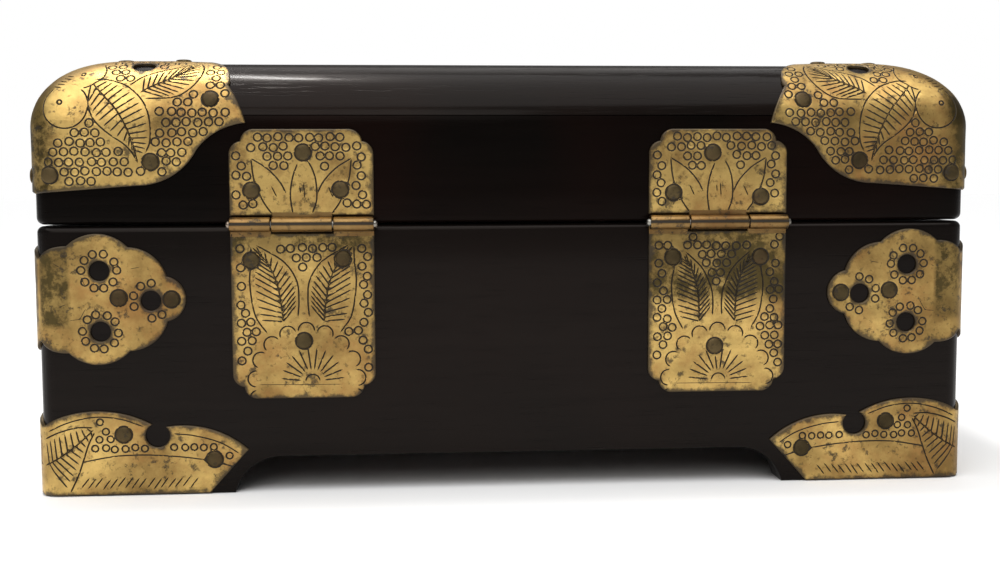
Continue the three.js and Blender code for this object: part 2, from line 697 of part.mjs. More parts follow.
// The hasp's outline: a narrow neck that swells into a cloud-shaped head.
function haspShape(zTop) {
  const tip = seamHeight - HASP_DROP;
  const neck = HASP_NECK_WIDTH / 2;
  const head = HASP_HEAD_WIDTH / 2;
  const shape = new THREE.Shape();
  shape.moveTo(-neck, zTop);
  arcTo(shape, -neck, tip + 17.5, 1.2);
  arcTo(shape, -head, tip + 9, -1.6);
  arcTo(shape, -head + 4.5, tip + 3.2, -1.5);
  arcTo(shape, 0, tip, -1.2);
  arcTo(shape, head - 4.5, tip + 3.2, -1.2);
  arcTo(shape, head, tip + 9, -1.5);
  arcTo(shape, neck, tip + 17.5, -1.6);
  arcTo(shape, neck, zTop, 1.2);
  shape.closePath();
  return shape;
}

function addLock() {
  const front = -leafFront;
  const plateTop = shoulderStart - LOCK_MARGIN;
  const upperPlate = lockShape(lidRim + JOINT_GAP, plateTop, 1);
  const lowerPlate = lockShape(BODY_TOP - JOINT_GAP, seamHeight - LOCK_DROP, -1);
  const pinZ = plateTop - HASP_PIN_DROP;
  const hingeY = front - HASP_BRACKET_RADIUS + 0.2;
  const knuckleHalf = HASP_KNUCKLE_LENGTH / 2;
  const near = knuckleHalf + KNUCKLE_GAP;
  const far = near + HASP_BRACKET_LENGTH;
  const bore = barAlongX(HASP_PIN_RADIUS + PIN_CLEARANCE, -30, 30, hingeY, pinZ);
  const bracket = (low, high) => barAlongX(HASP_BRACKET_RADIUS, low, high, hingeY, pinZ);
  const plate = prismAlongY(upperPlate, -leafFront, -leafBack)
    .add(bracket(near, far))
    .add(bracket(-far, -near))
    .subtract(bore);
  add("lock_plate_upper", plate, brass);
  add("lock_plate_lower", prismAlongY(lowerPlate, -leafFront, -leafBack), brass);

  const haspBack = hingeY + HASP_KNUCKLE_RADIUS - 0.4;
  const haspFront = haspBack - HASP_THICKNESS;
  const haspTop = pinZ - HASP_BRACKET_RADIUS - KNUCKLE_GAP;
  const tongue = block([-knuckleHalf, haspFront, haspTop - 1], [knuckleHalf, haspBack, pinZ]);
  const hasp = prismAlongY(haspShape(haspTop), haspFront, haspBack)
    .add(tongue)
    .add(barAlongX(HASP_KNUCKLE_RADIUS, -knuckleHalf, knuckleHalf, hingeY, pinZ))
    .subtract(bore)
    .add(lockEye(0, haspFront + 0.5, seamHeight - EYE_DROP));
  add("hasp", hasp, brass);
  const pinEnd = far + 0.6;
  add("hasp_pin", barAlongX(HASP_PIN_RADIUS, -pinEnd, pinEnd, hingeY, pinZ), steel);
  const eye = lockEye(EYE_SPACING, front - FIT_GAP, seamHeight - EYE_DROP);
  add("lock_eye_right", eye, brass);
  add("lock_eye_left", eye, brass, -1);
}

// ---------------------------------------------------------------- tray

// The ring cushion: parallel rolls on a common base, as one ridged profile along X.
function ringCushion(xLow, xHigh, halfRow, zLow) {
  const shape = new THREE.Shape();
  const count = Math.floor((2 * halfRow) / RING_ROLL_PITCH);
  const step = (2 * halfRow) / count;
  const rise = step / 2 - RING_ROLL_FLATTENING;
  shape.moveTo(-halfRow, zLow);
  shape.lineTo(halfRow, zLow);
  shape.lineTo(halfRow, zLow + RING_ROLL_BASE);
  for (let k = 1; k <= count; k++) {
    arcTo(shape, halfRow - k * step, zLow + RING_ROLL_BASE, -rise);
  }
  shape.closePath();
  return prismAlongX(shape, xLow, xHigh);
}

function addTray() {
  const x = innerHalfWidth - TRAY_CLEARANCE;
  const y = innerHalfDepth - TRAY_CLEARANCE;
  const low = liningTop + FIT_GAP;
  const high = low + TRAY_HEIGHT;
  const floor = low + TRAY_BASE;
  const wall = TRAY_WALL;
  const longSide = block([-x, y - wall, low], [x, y, high]);
  add("tray_back", longSide, trayWood);
  add("tray_front", longSide, trayWood, 1, -1);
  const inY = y - wall - JOINT_GAP;
  const inX = x - wall - JOINT_GAP;
  const shortSide = block([x - wall, -inY, low], [x, inY, high]);
  add("tray_right", shortSide, trayWood);
  add("tray_left", shortSide, trayWood, -1, 1);
  add("tray_base", block([-inX, -inY, low], [inX, inY, floor]), trayWood);

  const deck = floor + FIT_GAP;
  const crest = deck + DIVIDER_HEIGHT;
  const half = DIVIDER_THICKNESS / 2;
  const near = DIVIDER_OFFSET - half;
  const away = DIVIDER_OFFSET + half;
  const long = block([near, -inY, deck], [away, inY, crest]);
  add("tray_divider_right", long, trayWood);
  add("tray_divider_left", long, trayWood, -1, 1);
  const crossLow = away + JOINT_GAP;
  add("tray_divider_cross", block([crossLow, -half, deck], [inX, half, crest]), trayWood);

  // A turned knob on each long divider, to lift the tray by.
  const r = KNOB_RADIUS;
  const h = KNOB_HEIGHT;
  const profile = [[0, 0], [r * 0.45, 0], [r * 0.4, h * 0.35], [r * 0.85, h * 0.5], [r, h * 0.72]];
  profile.push([r * 0.7, h * 0.94], [0, h]);
  const turned = new THREE.LatheGeometry(profile.map(([a, b]) => new THREE.Vector2(a, b)), 16);
  turned.rotateX(Math.PI / 2);
  turned.translate(DIVIDER_OFFSET, 0, crest + FIT_GAP);
  const knob = solidOf(turned);
  add("tray_knob_right", knob, brass);
  add("tray_knob_left", knob, brass, -1, 1);

  const padTop = deck + TRAY_PAD_THICKNESS;
  const middle = near - JOINT_GAP;
  const padY = inY - JOINT_GAP;
  add("tray_pad_middle", block([-middle, -padY, deck], [middle, padY, padTop]), velvet);
  const padX = inX - JOINT_GAP;
  const corner = block([crossLow, half + JOINT_GAP, deck], [padX, padY, padTop]);
  add("tray_pad_back", corner, velvet);
  add("tray_pad_front", corner, velvet, 1, -1);
  add("ring_cushion", ringCushion(-padX, -away - JOINT_GAP, padY, deck), velvet);
}

addCase();
addCaseMounts();
addLid();
addLidMounts();
addHinges();
addLock();
addTray();

// The origin is under the middle of everything, the hinge barrels and lock eyes included.
const reachOfAll = new THREE.Box3().setFromObject(object);
object.position.y = -(reachOfAll.min.y + reachOfAll.max.y) / 2;

export default object;
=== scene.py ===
"""A hardwood jewellery box with engraved brass mounts, a round-shouldered lid and a lift-out tray.

Lengths are worked out in millimetres from the case's own middle, and placed in metres at the end.
"""
import math

import bpy
import numpy as np
from mathutils import Matrix, Vector
from mathutils.geometry import delaunay_2d_cdt


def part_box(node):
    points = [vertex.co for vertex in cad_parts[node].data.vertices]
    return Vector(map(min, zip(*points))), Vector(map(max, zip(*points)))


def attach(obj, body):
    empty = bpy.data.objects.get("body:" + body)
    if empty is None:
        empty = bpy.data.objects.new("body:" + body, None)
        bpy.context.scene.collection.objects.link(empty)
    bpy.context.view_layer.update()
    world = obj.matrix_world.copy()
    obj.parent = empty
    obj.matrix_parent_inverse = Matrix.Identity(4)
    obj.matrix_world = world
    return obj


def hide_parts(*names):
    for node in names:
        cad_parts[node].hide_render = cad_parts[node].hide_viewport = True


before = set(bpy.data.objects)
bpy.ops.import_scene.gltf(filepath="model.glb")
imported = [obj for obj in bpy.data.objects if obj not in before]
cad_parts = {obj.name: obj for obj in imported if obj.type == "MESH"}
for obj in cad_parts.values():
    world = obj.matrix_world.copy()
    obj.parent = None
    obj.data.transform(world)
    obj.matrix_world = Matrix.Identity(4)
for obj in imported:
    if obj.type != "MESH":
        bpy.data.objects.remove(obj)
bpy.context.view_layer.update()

# ------------------------------------------------------------------ sizes taken from the frame

MM = 0.001


def corners(node):
    """The lowest and highest corner of a node, in millimetres of the frame."""
    low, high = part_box(node)
    return np.array(low) / MM, np.array(high) / MM


BACK_Y = corners("back_board")[1][1]
FRONT_Y = corners("front_board")[0][1]
SHIFT_Y = (BACK_Y + FRONT_Y) / 2          # the case's middle, seen from the frame's origin
HALF_W = corners("right_board")[1][0]
HALF_D = (BACK_Y - FRONT_Y) / 2
BODY_TOP = corners("back_board")[1][2]
LID_RIM = corners("lid_rail_back")[0][2]
FRAME_UNDER = corners("top_frame_back")[0][2]
RAIL_TOP = corners("lid_rail_back")[1][2]
WALL = HALF_W - corners("right_board")[0][0]
PANEL_W = corners("top_panel")[1][0]
PANEL_D = corners("top_panel")[1][1] - SHIFT_Y
PANEL_UNDER = corners("top_panel")[0][2]
SEAM = (BODY_TOP + LID_RIM) / 2

SHOULDER = 18.0                           # radius between the lid's sides and its top
LID_TOP = LID_RIM + 43.4                  # where that radius meets the top
SHOULDER_START = LID_TOP - SHOULDER
CROWN = 2.0                               # rise of the top's middle
CORNER = 5.0                              # radius of the upright corners
SOFTENING = 0.4                           # growth of that radius per millimetre of inset
SHARPEST = 0.3                            # least radius of a corner of the plan
RIM = 1.8                                 # radius of the edges at the seam
INNER_EDGE = 0.5                          # radius of the case boards' inner and lower edges
FRAME_WIDTH = 34.0                        # of the top frame's boards, in from the lid's side
APRON = 9.7                               # height of the arch between the feet
FOOT = 51.3                               # length of a foot along each side
COVE = 12.0                               # run of the curve between foot and arch
COVE_BULGE = 2.6
SHEET_LIFT = 0.05                         # a mount's back over the wood
SHEET = 0.85                              # a mount's face over the wood
LEAF_FACE = 0.95                          # a hinge leaf's or lock plate's face over the wood
RING = 1.33                               # radius of a ring punch
NAIL_RING = 2.55                          # radius of the rubbed ring round a nail
CUT_WIDTH = 0.44
CUT_DEPTH = 0.17
CROSSING_DROP, CROSSING_DARK = 0.1, 0.7   # depth and darkness where two cuts cross
ENGRAVED_CREASE = 26                      # degrees past which an engraved sheet's edge looks sharp

# ------------------------------------------------------------------ meshes


def to_frame(points):
    """Millimetres from the case's middle to metres in the frame."""
    points = np.asarray(points, float).reshape(-1, 3)
    return (points + (0.0, SHIFT_Y, 0.0)) * MM


def signed_volume(verts, faces):
    """Sum of the tetrahedra between the origin and each face's fan: positive when faces point
    outwards."""
    total = 0.0
    for face in faces:
        face = np.asarray(face)
        if len(face) == 0:
            continue
        a = verts[face[:, 0]]
        for k in range(1, face.shape[1] - 1):
            total += np.einsum("ij,ij->", a, np.cross(verts[face[:, k]], verts[face[:, k + 1]]))
    return total


def placed(name, data):
    """A new object in the scene."""
    made = bpy.data.objects.new(name, data)
    bpy.context.scene.collection.objects.link(made)
    return made


def piece(name, verts, faces, material, body, slot, marks=None, sharp=32, stands_for=None):
    """A closed mesh from vertices in millimetres and lists of equal-sided faces, turned to face
    outwards. It rides on the body and stands for a node; marks become its attributes."""
    verts = np.asarray(verts, float).reshape(-1, 3)
    faces = [np.asarray(f, int) for f in faces if len(f)]
    if signed_volume(verts, faces) < 0:
        faces = [f[:, ::-1] for f in faces]
    mesh = bpy.data.meshes.new(name)
    mesh.from_pydata([], [], [])
    loops = np.concatenate([f.ravel() for f in faces])
    totals = np.concatenate([np.full(len(f), f.shape[1]) for f in faces])
    starts = np.concatenate([[0], np.cumsum(totals)[:-1]])
    mesh.vertices.add(len(verts))
    mesh.vertices.foreach_set("co", to_frame(verts).astype(np.float32).ravel())
    mesh.loops.add(len(loops))
    mesh.loops.foreach_set("vertex_index", loops.astype(np.int32))
    mesh.polygons.add(len(totals))
    mesh.polygons.foreach_set("loop_start", starts.astype(np.int32))
    mesh.update(calc_edges=True)
    mesh.validate()
    for key, values in (marks or {}).items():
        layer = mesh.attributes.new(key, "FLOAT", "POINT")
        layer.data.foreach_set("value", np.asarray(values, np.float32))
    mesh.shade_smooth()
    mesh.set_sharp_from_angle(angle=math.radians(sharp))
    mesh.materials.append(material)
    made = placed(name, mesh)
    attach(made, body)
    if stands_for:
        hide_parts(stands_for)
    return made


def grid_faces(rows, columns, wrap_rows=False, wrap_columns=False, first=0):
    """The quads of a grid of rows by columns, joined round where it wraps."""
    r = np.arange(rows if wrap_rows else rows - 1)
    c = np.arange(columns if wrap_columns else columns - 1)
    r, c = np.meshgrid(r, c, indexing="ij")
    r2, c2 = (r + 1) % rows, (c + 1) % columns
    quads = np.stack([r * columns + c, r * columns + c2, r2 * columns + c2, r2 * columns + c], -1)
    return quads.reshape(-1, 4) + first


def join(parts):
    """Several (verts, faces) shells as one, with their face lists side by side."""
    verts, faces, first = [], [], 0
    for v, f in parts:
        v = np.asarray(v, float).reshape(-1, 3)
        verts.append(v)
        if signed_volume(v, f) < 0:
            f = [np.asarray(x)[:, ::-1] for x in f]
        faces.extend(np.asarray(x) + first for x in f)
        first += len(v)
    return np.concatenate(verts), faces


def slab(top, bottom):
    """A closed shell between two grids of the same size: both grids, and a wall round them."""
    rows, columns = top.shape[:2]
    count = rows * columns
    index = np.arange(count).reshape(rows, columns)
    border = np.concatenate([index[0, :-1], index[:-1, -1], index[-1, :0:-1], index[:0:-1, 0]])
    after = np.roll(border, -1)
    wall = np.stack([border, border + count, after + count, after], -1)
    faces = grid_faces(rows, columns)
    verts = np.concatenate([top.reshape(-1, 3), bottom.reshape(-1, 3)])
    return verts, [faces, faces[:, ::-1] + count, wall]


def full_turn(sides):
    """The angles of a regular figure's corners."""
    return np.arange(sides) * (2 * np.pi / sides)


def circle(centre, radius, turn):
    """Points round a centre at the given angles; radius may be a pair, across and up."""
    across, up = np.broadcast_to(radius, 2)
    return np.stack([centre[0] + across * np.cos(turn), centre[1] + up * np.sin(turn)], -1)


def revolve(radius, height, sides=20):
    """A profile of radii and heights turned about the Z axis, closed by a point at each end."""
    ring = circle((0, 0), 1.0, full_turn(sides))
    body = np.asarray(radius)[1:-1, None, None] * ring[None]
    z = np.broadcast_to(np.asarray(height)[1:-1, None, None], body.shape[:2] + (1,))
    body = np.concatenate([body, z], -1).reshape(-1, 3)
    low, high = len(body), len(body) + 1
    verts = np.concatenate([body, [[0, 0, height[0]], [0, 0, height[-1]]]])
    rows = len(radius) - 2
    around = np.arange(sides)
    after = (around + 1) % sides
    top = (rows - 1) * sides
    ends = np.concatenate([
        np.stack([np.full(sides, low), after, around], -1),
        np.stack([np.full(sides, high), top + around, top + after], -1),
    ])
    return verts, [grid_faces(rows, sides, wrap_columns=True), ends]


def copies(shell, places, normals, spins):
    """The shell set on each place with its Z axis along that place's normal, turned by spin."""
    verts, faces = shell
    normals = normals / np.linalg.norm(normals, axis=1, keepdims=True)
    helper = np.where(np.abs(normals[:, 2:]) > 0.9, [[1.0, 0, 0]], [[0, 0, 1.0]])
    across = np.cross(helper, normals)
    across /= np.linalg.norm(across, axis=1, keepdims=True)
    along = np.cross(normals, across)
    c, s = np.cos(spins)[:, None], np.sin(spins)[:, None]
    first, second = c * across + s * along, c * along - s * across
    turned = (
        verts[None, :, :1] * first[:, None] + verts[None, :, 1:2] * second[:, None]
        + verts[None, :, 2:] * normals[:, None] + places[:, None]
    )
    step = (np.arange(len(places)) * len(verts))[:, None, None]
    return turned.reshape(-1, 3), [(f[None] + step).reshape(-1, f.shape[1]) for f in faces]


def soft_noise(u, v, size, seed):
    """A smooth unevenness between -1 and 1: nine crossed waves of about the given length."""
    rng = np.random.default_rng(seed)
    total = np.zeros_like(u)
    for _ in range(9):
        turn, phase = rng.uniform(0, np.pi), rng.uniform(0, 2 * np.pi)
        length = size * rng.uniform(0.6, 1.7)
        total += np.sin((u * np.cos(turn) + v * np.sin(turn)) * 2 * np.pi / length + phase)
    return total / 5.0


# ------------------------------------------------------------------ outlines and graver's lines


def arc(start, end, bulge, steps=12):
    """Points on the circular arc from start to end that swells by bulge to the left of the way,
    the start left out."""
    start, end = np.asarray(start, float), np.asarray(end, float)
    way = end - start
    half = np.linalg.norm(way) / 2
    radius = (bulge**2 + half**2) / (2 * abs(bulge))
    left = np.array([-way[1], way[0]]) / (2 * half)
    centre = (start + end) / 2 + left * (bulge - math.copysign(radius, bulge))
    a = math.atan2(*(start - centre)[::-1])
    b = math.atan2(*(end - centre)[::-1])
    turn = (b - a) % (2 * np.pi)
    if bulge > 0:
        turn -= 2 * np.pi
    t = np.linspace(0, 1, steps + 1)[1:]
    return centre + radius * np.stack([np.cos(a + turn * t), np.sin(a + turn * t)], -1)


def line(start, end, steps=8):
    """Points on the straight way from start to end, the start left out."""
    t = np.linspace(0, 1, steps + 1)[1:, None]
    return np.asarray(start) * (1 - t) + np.asarray(end) * t


def outline(start, *moves):
    """A polyline of straight moves (end,) and arcs (end, bulge), its points about 1 mm apart."""
    points = [np.asarray(start, float)[None]]
    for move in moves:
        here, end = points[-1][-1], np.asarray(move[0], float)
        steps = max(2, int(np.ceil(np.linalg.norm(end - here) / 0.9)))
        if len(move) == 1:
            points.append(line(here, end, steps))
        else:
            points.append(arc(here, end, move[1], steps + 3))
    return np.concatenate(points)


def bezier(a, b, c, steps=16):
    """The quadratic curve from a to c that leans towards b."""
    t = np.linspace(0, 1, steps + 1)[:, None]
    a, b, c = (np.asarray(p, float) for p in (a, b, c))
    return a * (1 - t) ** 2 + 2 * b * t * (1 - t) + c * t**2


def sideways(path):
    """Unit vectors to the left of a path at each of its points."""
    way = np.gradient(path, axis=0)
    way /= np.linalg.norm(way, axis=1, keepdims=True) + 1e-12
    return np.stack([-way[:, 1], way[:, 0]], -1)


def inside(points, polygon):
    """Which points lie in the polygon, by counting the edges that a ray to the right crosses."""
    x, y = points[:, None, 0], points[:, None, 1]
    x1, y1 = polygon[None, :, 0], polygon[None, :, 1]
    x2, y2 = np.roll(x1, -1, 1), np.roll(y1, -1, 1)
    spans = (y1 > y) != (y2 > y)
    with np.errstate(divide="ignore", invalid="ignore"):
        cross = x < (x2 - x1) * (y - y1) / (y2 - y1) + x1
    return (np.sum(spans & cross, axis=1) % 2) == 1


def on_sheet(points, border, holes):
    """Which points lie in the border and in none of the holes."""
    keep = inside(points, border)
    for hole in holes:
        keep &= ~inside(points, hole)
    return keep


def distance_to(points, paths):
    """Least distance from each point to the points of all the paths."""
    marks = np.concatenate([np.asarray(p).reshape(-1, 2) for p in paths])
    gap = points[:, None] - marks[None]
    return np.sqrt(np.min(np.einsum("ijk,ijk->ij", gap, gap), axis=1))


class Engraving:
    """The lines cut into one sheet: points, edges between them, and how deep each point lies."""

    def __init__(self):
        self.points, self.edges, self.drops, self.darks, self.paths = [], [], [], [], []
        self.count = 0

    def add(self, points, edges, drops, darks):
        """Notes points, the edges between them, and each one's depth and darkness."""
        self.points.append(points)
        self.edges.append(np.asarray(edges) + self.count)
        self.drops.append(drops)
        self.darks.append(darks)
        self.count += len(points)

    def closed_line(self, points, level, drop, dark):
        """A closed line at one depth, but for the points where level holds, which stay at none."""
        n = len(points)
        a = np.arange(n)
        self.add(points, np.stack([a, (a + 1) % n], -1), np.where(level, 0.0, drop),
                 np.where(level, 0.0, dark))

    def cut(self, path, width=CUT_WIDTH, depth=CUT_DEPTH):
        """A graver's stroke: a V that goes in at once, runs, and dies away at its end."""
        path = np.asarray(path, float)
        if len(path) < 5:
            path = np.concatenate([path[:1], line(path[0], path[-1], 6)])
        n = len(path)
        run = np.concatenate([[0], np.cumsum(np.linalg.norm(np.diff(path, axis=0), axis=1))])
        share = run / run[-1]
        swell = np.clip(np.minimum(share / 0.2, (1 - share) / 0.7) * run[-1], 0.0, 1.0)[1:-1, None]
        side = sideways(path)[1:-1] * swell * width * 0.57
        left, right = path[1:-1] + side, path[1:-1] - side
        points = np.concatenate([path, left, right])
        mid = np.arange(n)
        one = np.concatenate([[0], n + np.arange(n - 2), [n - 1]])
        two = np.concatenate([[0], 2 * n - 2 + np.arange(n - 2), [n - 1]])
        edges = np.concatenate([np.stack([r[:-1], r[1:]], -1) for r in (mid, one, two)])
        drops, darks = np.zeros(len(points)), np.zeros(len(points))
        drops[1:n - 1] = depth * swell[:, 0]
        darks[1:n - 1] = 0.35 + 0.65 * swell[:, 0]
        self.add(points, edges, drops, darks)
        self.paths.append(path)

    def rings(self, centres, radius=RING, width=CUT_WIDTH * 1.2, depth=CUT_DEPTH, sides=12):
        """Ring punches: for each centre three circles, the middle one deep, and a domed inside."""
        centres = np.asarray(centres, float).reshape(-1, 2)
        if len(centres) == 0:
            return
        sizes = np.array([radius, radius - width / 2, radius - width])
        template = (sizes[:, None, None] * circle((0, 0), 1.0, full_turn(sides))).reshape(-1, 2)
        around = np.arange(sides)
        loop = np.stack([around, (around + 1) % sides], -1)
        edges = np.concatenate([loop, loop + sides, loop + 2 * sides])
        n = len(centres)
        points = (centres[:, None] + template[None]).reshape(-1, 2)
        step = (np.arange(n) * 3 * sides)[:, None, None]
        drops = np.tile(np.repeat([0.0, depth, depth * 0.15], sides), n)
        darks = np.tile(np.repeat([0.0, 1.0, 0.03], sides), n)
        self.add(points, (edges[None] + step).reshape(-1, 2), drops, darks)

    def leaf(self, base, lean, tip, width, veins, lead=0.5):
        """A veined leaf: a curved midrib, an outline that swells and closes to both ends, and
        veins that leave the midrib on both sides and lean towards the tip."""
        rib = bezier(base, lean, tip, 24)
        side = sideways(rib)
        t = np.linspace(0, 1, len(rib))
        swell = (width * np.sin(np.pi * t**0.85) ** 0.8)[:, None]
        self.cut(rib)
        edges = [rib + side * swell, rib - side * swell]
        for edge in edges:
            self.cut(edge[1:-1], CUT_WIDTH * 1.15)
        span = np.linspace(0.1, 0.86, veins)
        for sign in (1, -1):
            for share in span:
                k = share * (len(rib) - 1)
                root = np.array([np.interp(k, np.arange(len(rib)), rib[:, i]) for i in (0, 1)])
                far = min(share + lead * width / (np.linalg.norm(rib[-1] - rib[0])), 0.98)
                j = far * (len(rib) - 1)
                outer = rib + sign * side * swell * 0.74
                end = np.array([np.interp(j, np.arange(len(rib)), outer[:, i]) for i in (0, 1)])
                self.cut(line(root, end, 6), CUT_WIDTH * 0.85, CUT_DEPTH * 0.85)
        return np.concatenate([edges[0], edges[1][::-1]])

    def nail_rings(self, nails):
        """A broad, shallow, rubbed ring round each nail."""
        self.rings(nails, NAIL_RING, 0.7, 0.12, 18)

    def ground(self, border, keep_out, nails, pitch=2.78, margin=1.75, seed=1, radius=RING,
               within=None):
        """Ring punches over the ground: a staggered, slightly wandering grid, without those that
        come near the border, a nail, a figure or another line. A rubbed ring goes round each
        nail."""
        rng = np.random.default_rng(seed)
        low, high = border.min(0), border.max(0)
        rows = np.arange(low[1] + 0.6, high[1], pitch * 0.92)
        columns = np.arange(low[0] + 0.4, high[0], pitch)
        x, y = np.meshgrid(columns, rows)
        x = x + (np.arange(len(rows)) % 2)[:, None] * pitch / 2
        places = np.stack([x.ravel(), y.ravel()], -1)
        places += rng.uniform(-0.24, 0.24, places.shape)
        keep = on_sheet(places, border, keep_out) & (distance_to(places, [border]) > margin)
        if within is not None:
            keep &= within(places)
        keep &= distance_to(places, self.paths) > radius + 0.15
        if len(nails):
            keep &= distance_to(places, [nails]) > radius + 2.1
        self.rings(places[keep], radius)
        self.nail_rings(nails)


def triangulated(points, edges):
    """The triangles between the points that keep every edge, and each vertex's first input
    point."""
    verts, _, faces, origin, _, _ = delaunay_2d_cdt(
        [tuple(p) for p in points.tolist()], [tuple(e) for e in edges.tolist()], [], 0, 1e-5)
    verts = np.array([tuple(v) for v in verts], float)
    first = np.array([o[0] if o else -1 for o in origin])
    return verts, np.array(faces, int), first


def sheet_shell(border, holes, engraving, surface, seam=None, spacing=1.3, face=SHEET,
                back=SHEET_LIFT, bevel=0.24, seed=1, hammer=0.06, soil=None):
    """An engraved sheet over a curved face.

    Its outline and lines are triangulated in the sheet's own flat coordinates u and v, and
    surface(u, v, h) carries each vertex to its place h over the wood: h is the face's height less
    the depth of the cut there, with a slow hand-beaten unevenness. The rim is bevelled, a wall
    goes down to the back, and the back is a coarser copy of the outline. Edges for which
    seam(points) holds get no wall, because the sheet goes on there in its mirror image.
    The marks are 'cut', 1 in the lines, 'rim', which fades inwards from the outline, and a third
    that the given function of u and v lays over the sheet: tarnish, and on the rounded corners a
    painted dark reflection."""
    loops = [border] + list(holes)
    drawn = Engraving()
    for loop in loops:
        level = seam(loop) if seam is not None and loop is border else np.zeros(len(loop), bool)
        drawn.closed_line(loop, level, bevel, 0.12)
    low, high = border.min(0), border.max(0)
    u, v = np.meshgrid(np.arange(low[0], high[0], spacing), np.arange(low[1], high[1], spacing))
    grid = np.stack([u.ravel(), v.ravel()], -1)
    grid = grid[on_sheet(grid, border, holes) & (distance_to(grid, loops) > 0.75)]
    for loop in loops:                      # a second row of points, just inside each outline
        step = sideways(np.concatenate([loop, loop[:1]]))[:-1] * 0.32
        row = loop + step
        if not on_sheet(row, border, holes).mean() > 0.5:
            row = loop - step
        off = on_sheet(row, border, holes) & (distance_to(row, loops) > 0.2)
        if seam is not None and loop is border:
            off &= ~seam(loop)
        grid = np.concatenate([grid, row[off]])
    points = np.concatenate([*drawn.points, *engraving.points, grid])
    edges = drawn.edges + [e + drawn.count for e in engraving.edges]
    plain = np.zeros(len(grid))
    drops = np.concatenate([*drawn.drops, *engraving.drops, plain, [CROSSING_DROP]])
    darks = np.concatenate([*drawn.darks, *engraving.darks, plain, [CROSSING_DARK]])
    flat, tris, first = triangulated(points, np.concatenate(edges))
    tris = tris[on_sheet(flat[tris].mean(1), border, holes)]
    used, tris = np.unique(tris, return_inverse=True)
    tris = tris.reshape(-1, 3)
    flat, first = flat[used], first[used]
    drop, dark = drops[first], darks[first]
    beaten = soft_noise(flat[:, 0], flat[:, 1], 9.0, seed) * hammer
    front = surface(flat[:, 0], flat[:, 1], face - drop + beaten)
    one_way = np.concatenate([tris[:, [0, 1]], tris[:, [1, 2]], tris[:, [2, 0]]])
    count = len(flat)
    code, mirror = one_way[:, 0] * count + one_way[:, 1], one_way[:, 1] * count + one_way[:, 0]
    rim = one_way[~np.isin(code, mirror)]
    rim_points = np.unique(rim)
    place = np.full(count, -1)
    place[rim_points] = np.arange(len(rim_points))
    rim_flat = flat[rim_points]
    back_flat, back_tris, _ = triangulated(np.concatenate([rim_flat, grid[::2]]), place[rim])
    back_tris = back_tris[on_sheet(back_flat[back_tris].mean(1), border, holes)]
    keys = {tuple(k): i for i, k in enumerate(np.round(back_flat, 4).tolist())}
    match = np.array([keys.get(tuple(k), -1) for k in np.round(rim_flat, 4).tolist()])
    under = surface(back_flat[:, 0], back_flat[:, 1], np.full(len(back_flat), back))
    if seam is not None:
        rim = rim[~(seam(flat[rim[:, 0]]) & seam(flat[rim[:, 1]]))]
    a, b = rim[:, 0], rim[:, 1]
    quads = np.stack([a, count + match[place[a]], count + match[place[b]], b], -1)
    verts = np.concatenate([front, under])
    both = np.concatenate([flat, back_flat])
    edge = [loop if seam is None else loop[~seam(loop)] for loop in loops]
    marks = {
        "cut": np.concatenate([dark, np.zeros(len(under))]),
        "rim": np.exp(-distance_to(both, edge) / 1.1),
        # the third mark: tarnish, and on the corner mounts a painted dark reflection
        "soil": np.zeros(len(both)) if soil is None else soil(both[:, 0], both[:, 1]),
    }
    on_seam = np.zeros(len(verts), bool) if seam is None else seam(both)
    return verts, [tris, back_tris[:, ::-1] + count, quads], marks, on_seam


def both_halves(shell):
    """The shell and its mirror image across the plane through the corner's edge, which swaps the
    ways from the corner on the two faces. Vertices on that plane are shared."""
    verts, faces, marks, on_seam = shell
    swap = HALF_W - HALF_D
    other = np.stack([verts[:, 1] + swap, verts[:, 0] - swap, verts[:, 2]], -1)
    n = len(verts)
    index = np.where(on_seam, np.arange(n), np.arange(n) + n)
    mirrored = [index[f][:, ::-1] for f in faces]
    together = [np.concatenate([f, m]) for f, m in zip(faces, mirrored)]
    used, flat = np.unique(np.concatenate([f.ravel() for f in together]), return_inverse=True)
    sizes = np.cumsum([0] + [f.size for f in together])
    faces = [flat[a:b].reshape(f.shape) for a, b, f in zip(sizes, sizes[1:], together)]
    marks = {key: np.concatenate([mark, mark])[used] for key, mark in marks.items()}
    return np.concatenate([verts, other])[used], faces, marks


def fade(value, start, end):
    """0 before start, 1 after end, and smooth between; start may be the greater."""
    t = np.clip((value - start) / (end - start), 0, 1)
    return t * t * (3 - 2 * t)


# ------------------------------------------------------------------ the box's outer surface


def rounded_corner(half_x, half_y, c, radius):
    """A point on a rounded corner of the plan, c along the face from where the sharp corner would
    be, negative on the side face: straight beyond the radius, and round through 45 degrees up to
    the middle. Gives x, y and the outward normal."""
    bend = np.clip(c / radius, -1, 1)
    angle = np.pi / 4 * (1 + bend)
    past = c - np.clip(c, -radius, radius)
    x = half_x - radius + radius * np.cos(angle) - np.maximum(past, 0)
    y = half_y - radius + radius * np.sin(angle) + np.minimum(past, 0)
    return x, y, np.cos(angle), np.sin(angle)


def crown(x, y):
    """Rise of the lid's top: highest in the middle, level and flat where the shoulder begins."""
    p = np.clip(1 - (x / (HALF_W - SHOULDER)) ** 2, 0, 1)
    q = np.clip(1 - (y / (HALF_D - SHOULDER)) ** 2, 0, 1)
    return CROWN * p**2 * q**2


def case_corner(u, v, h):
    """The case's upright faces at their corner: u from the corner, v the height, h off the wood."""
    x, y, nx, ny = rounded_corner(HALF_W, HALF_D, u, CORNER)
    return np.stack([x + nx * h, y + ny * h, v + 0 * x], -1)


# ------------------------------------------------------------------ finishes


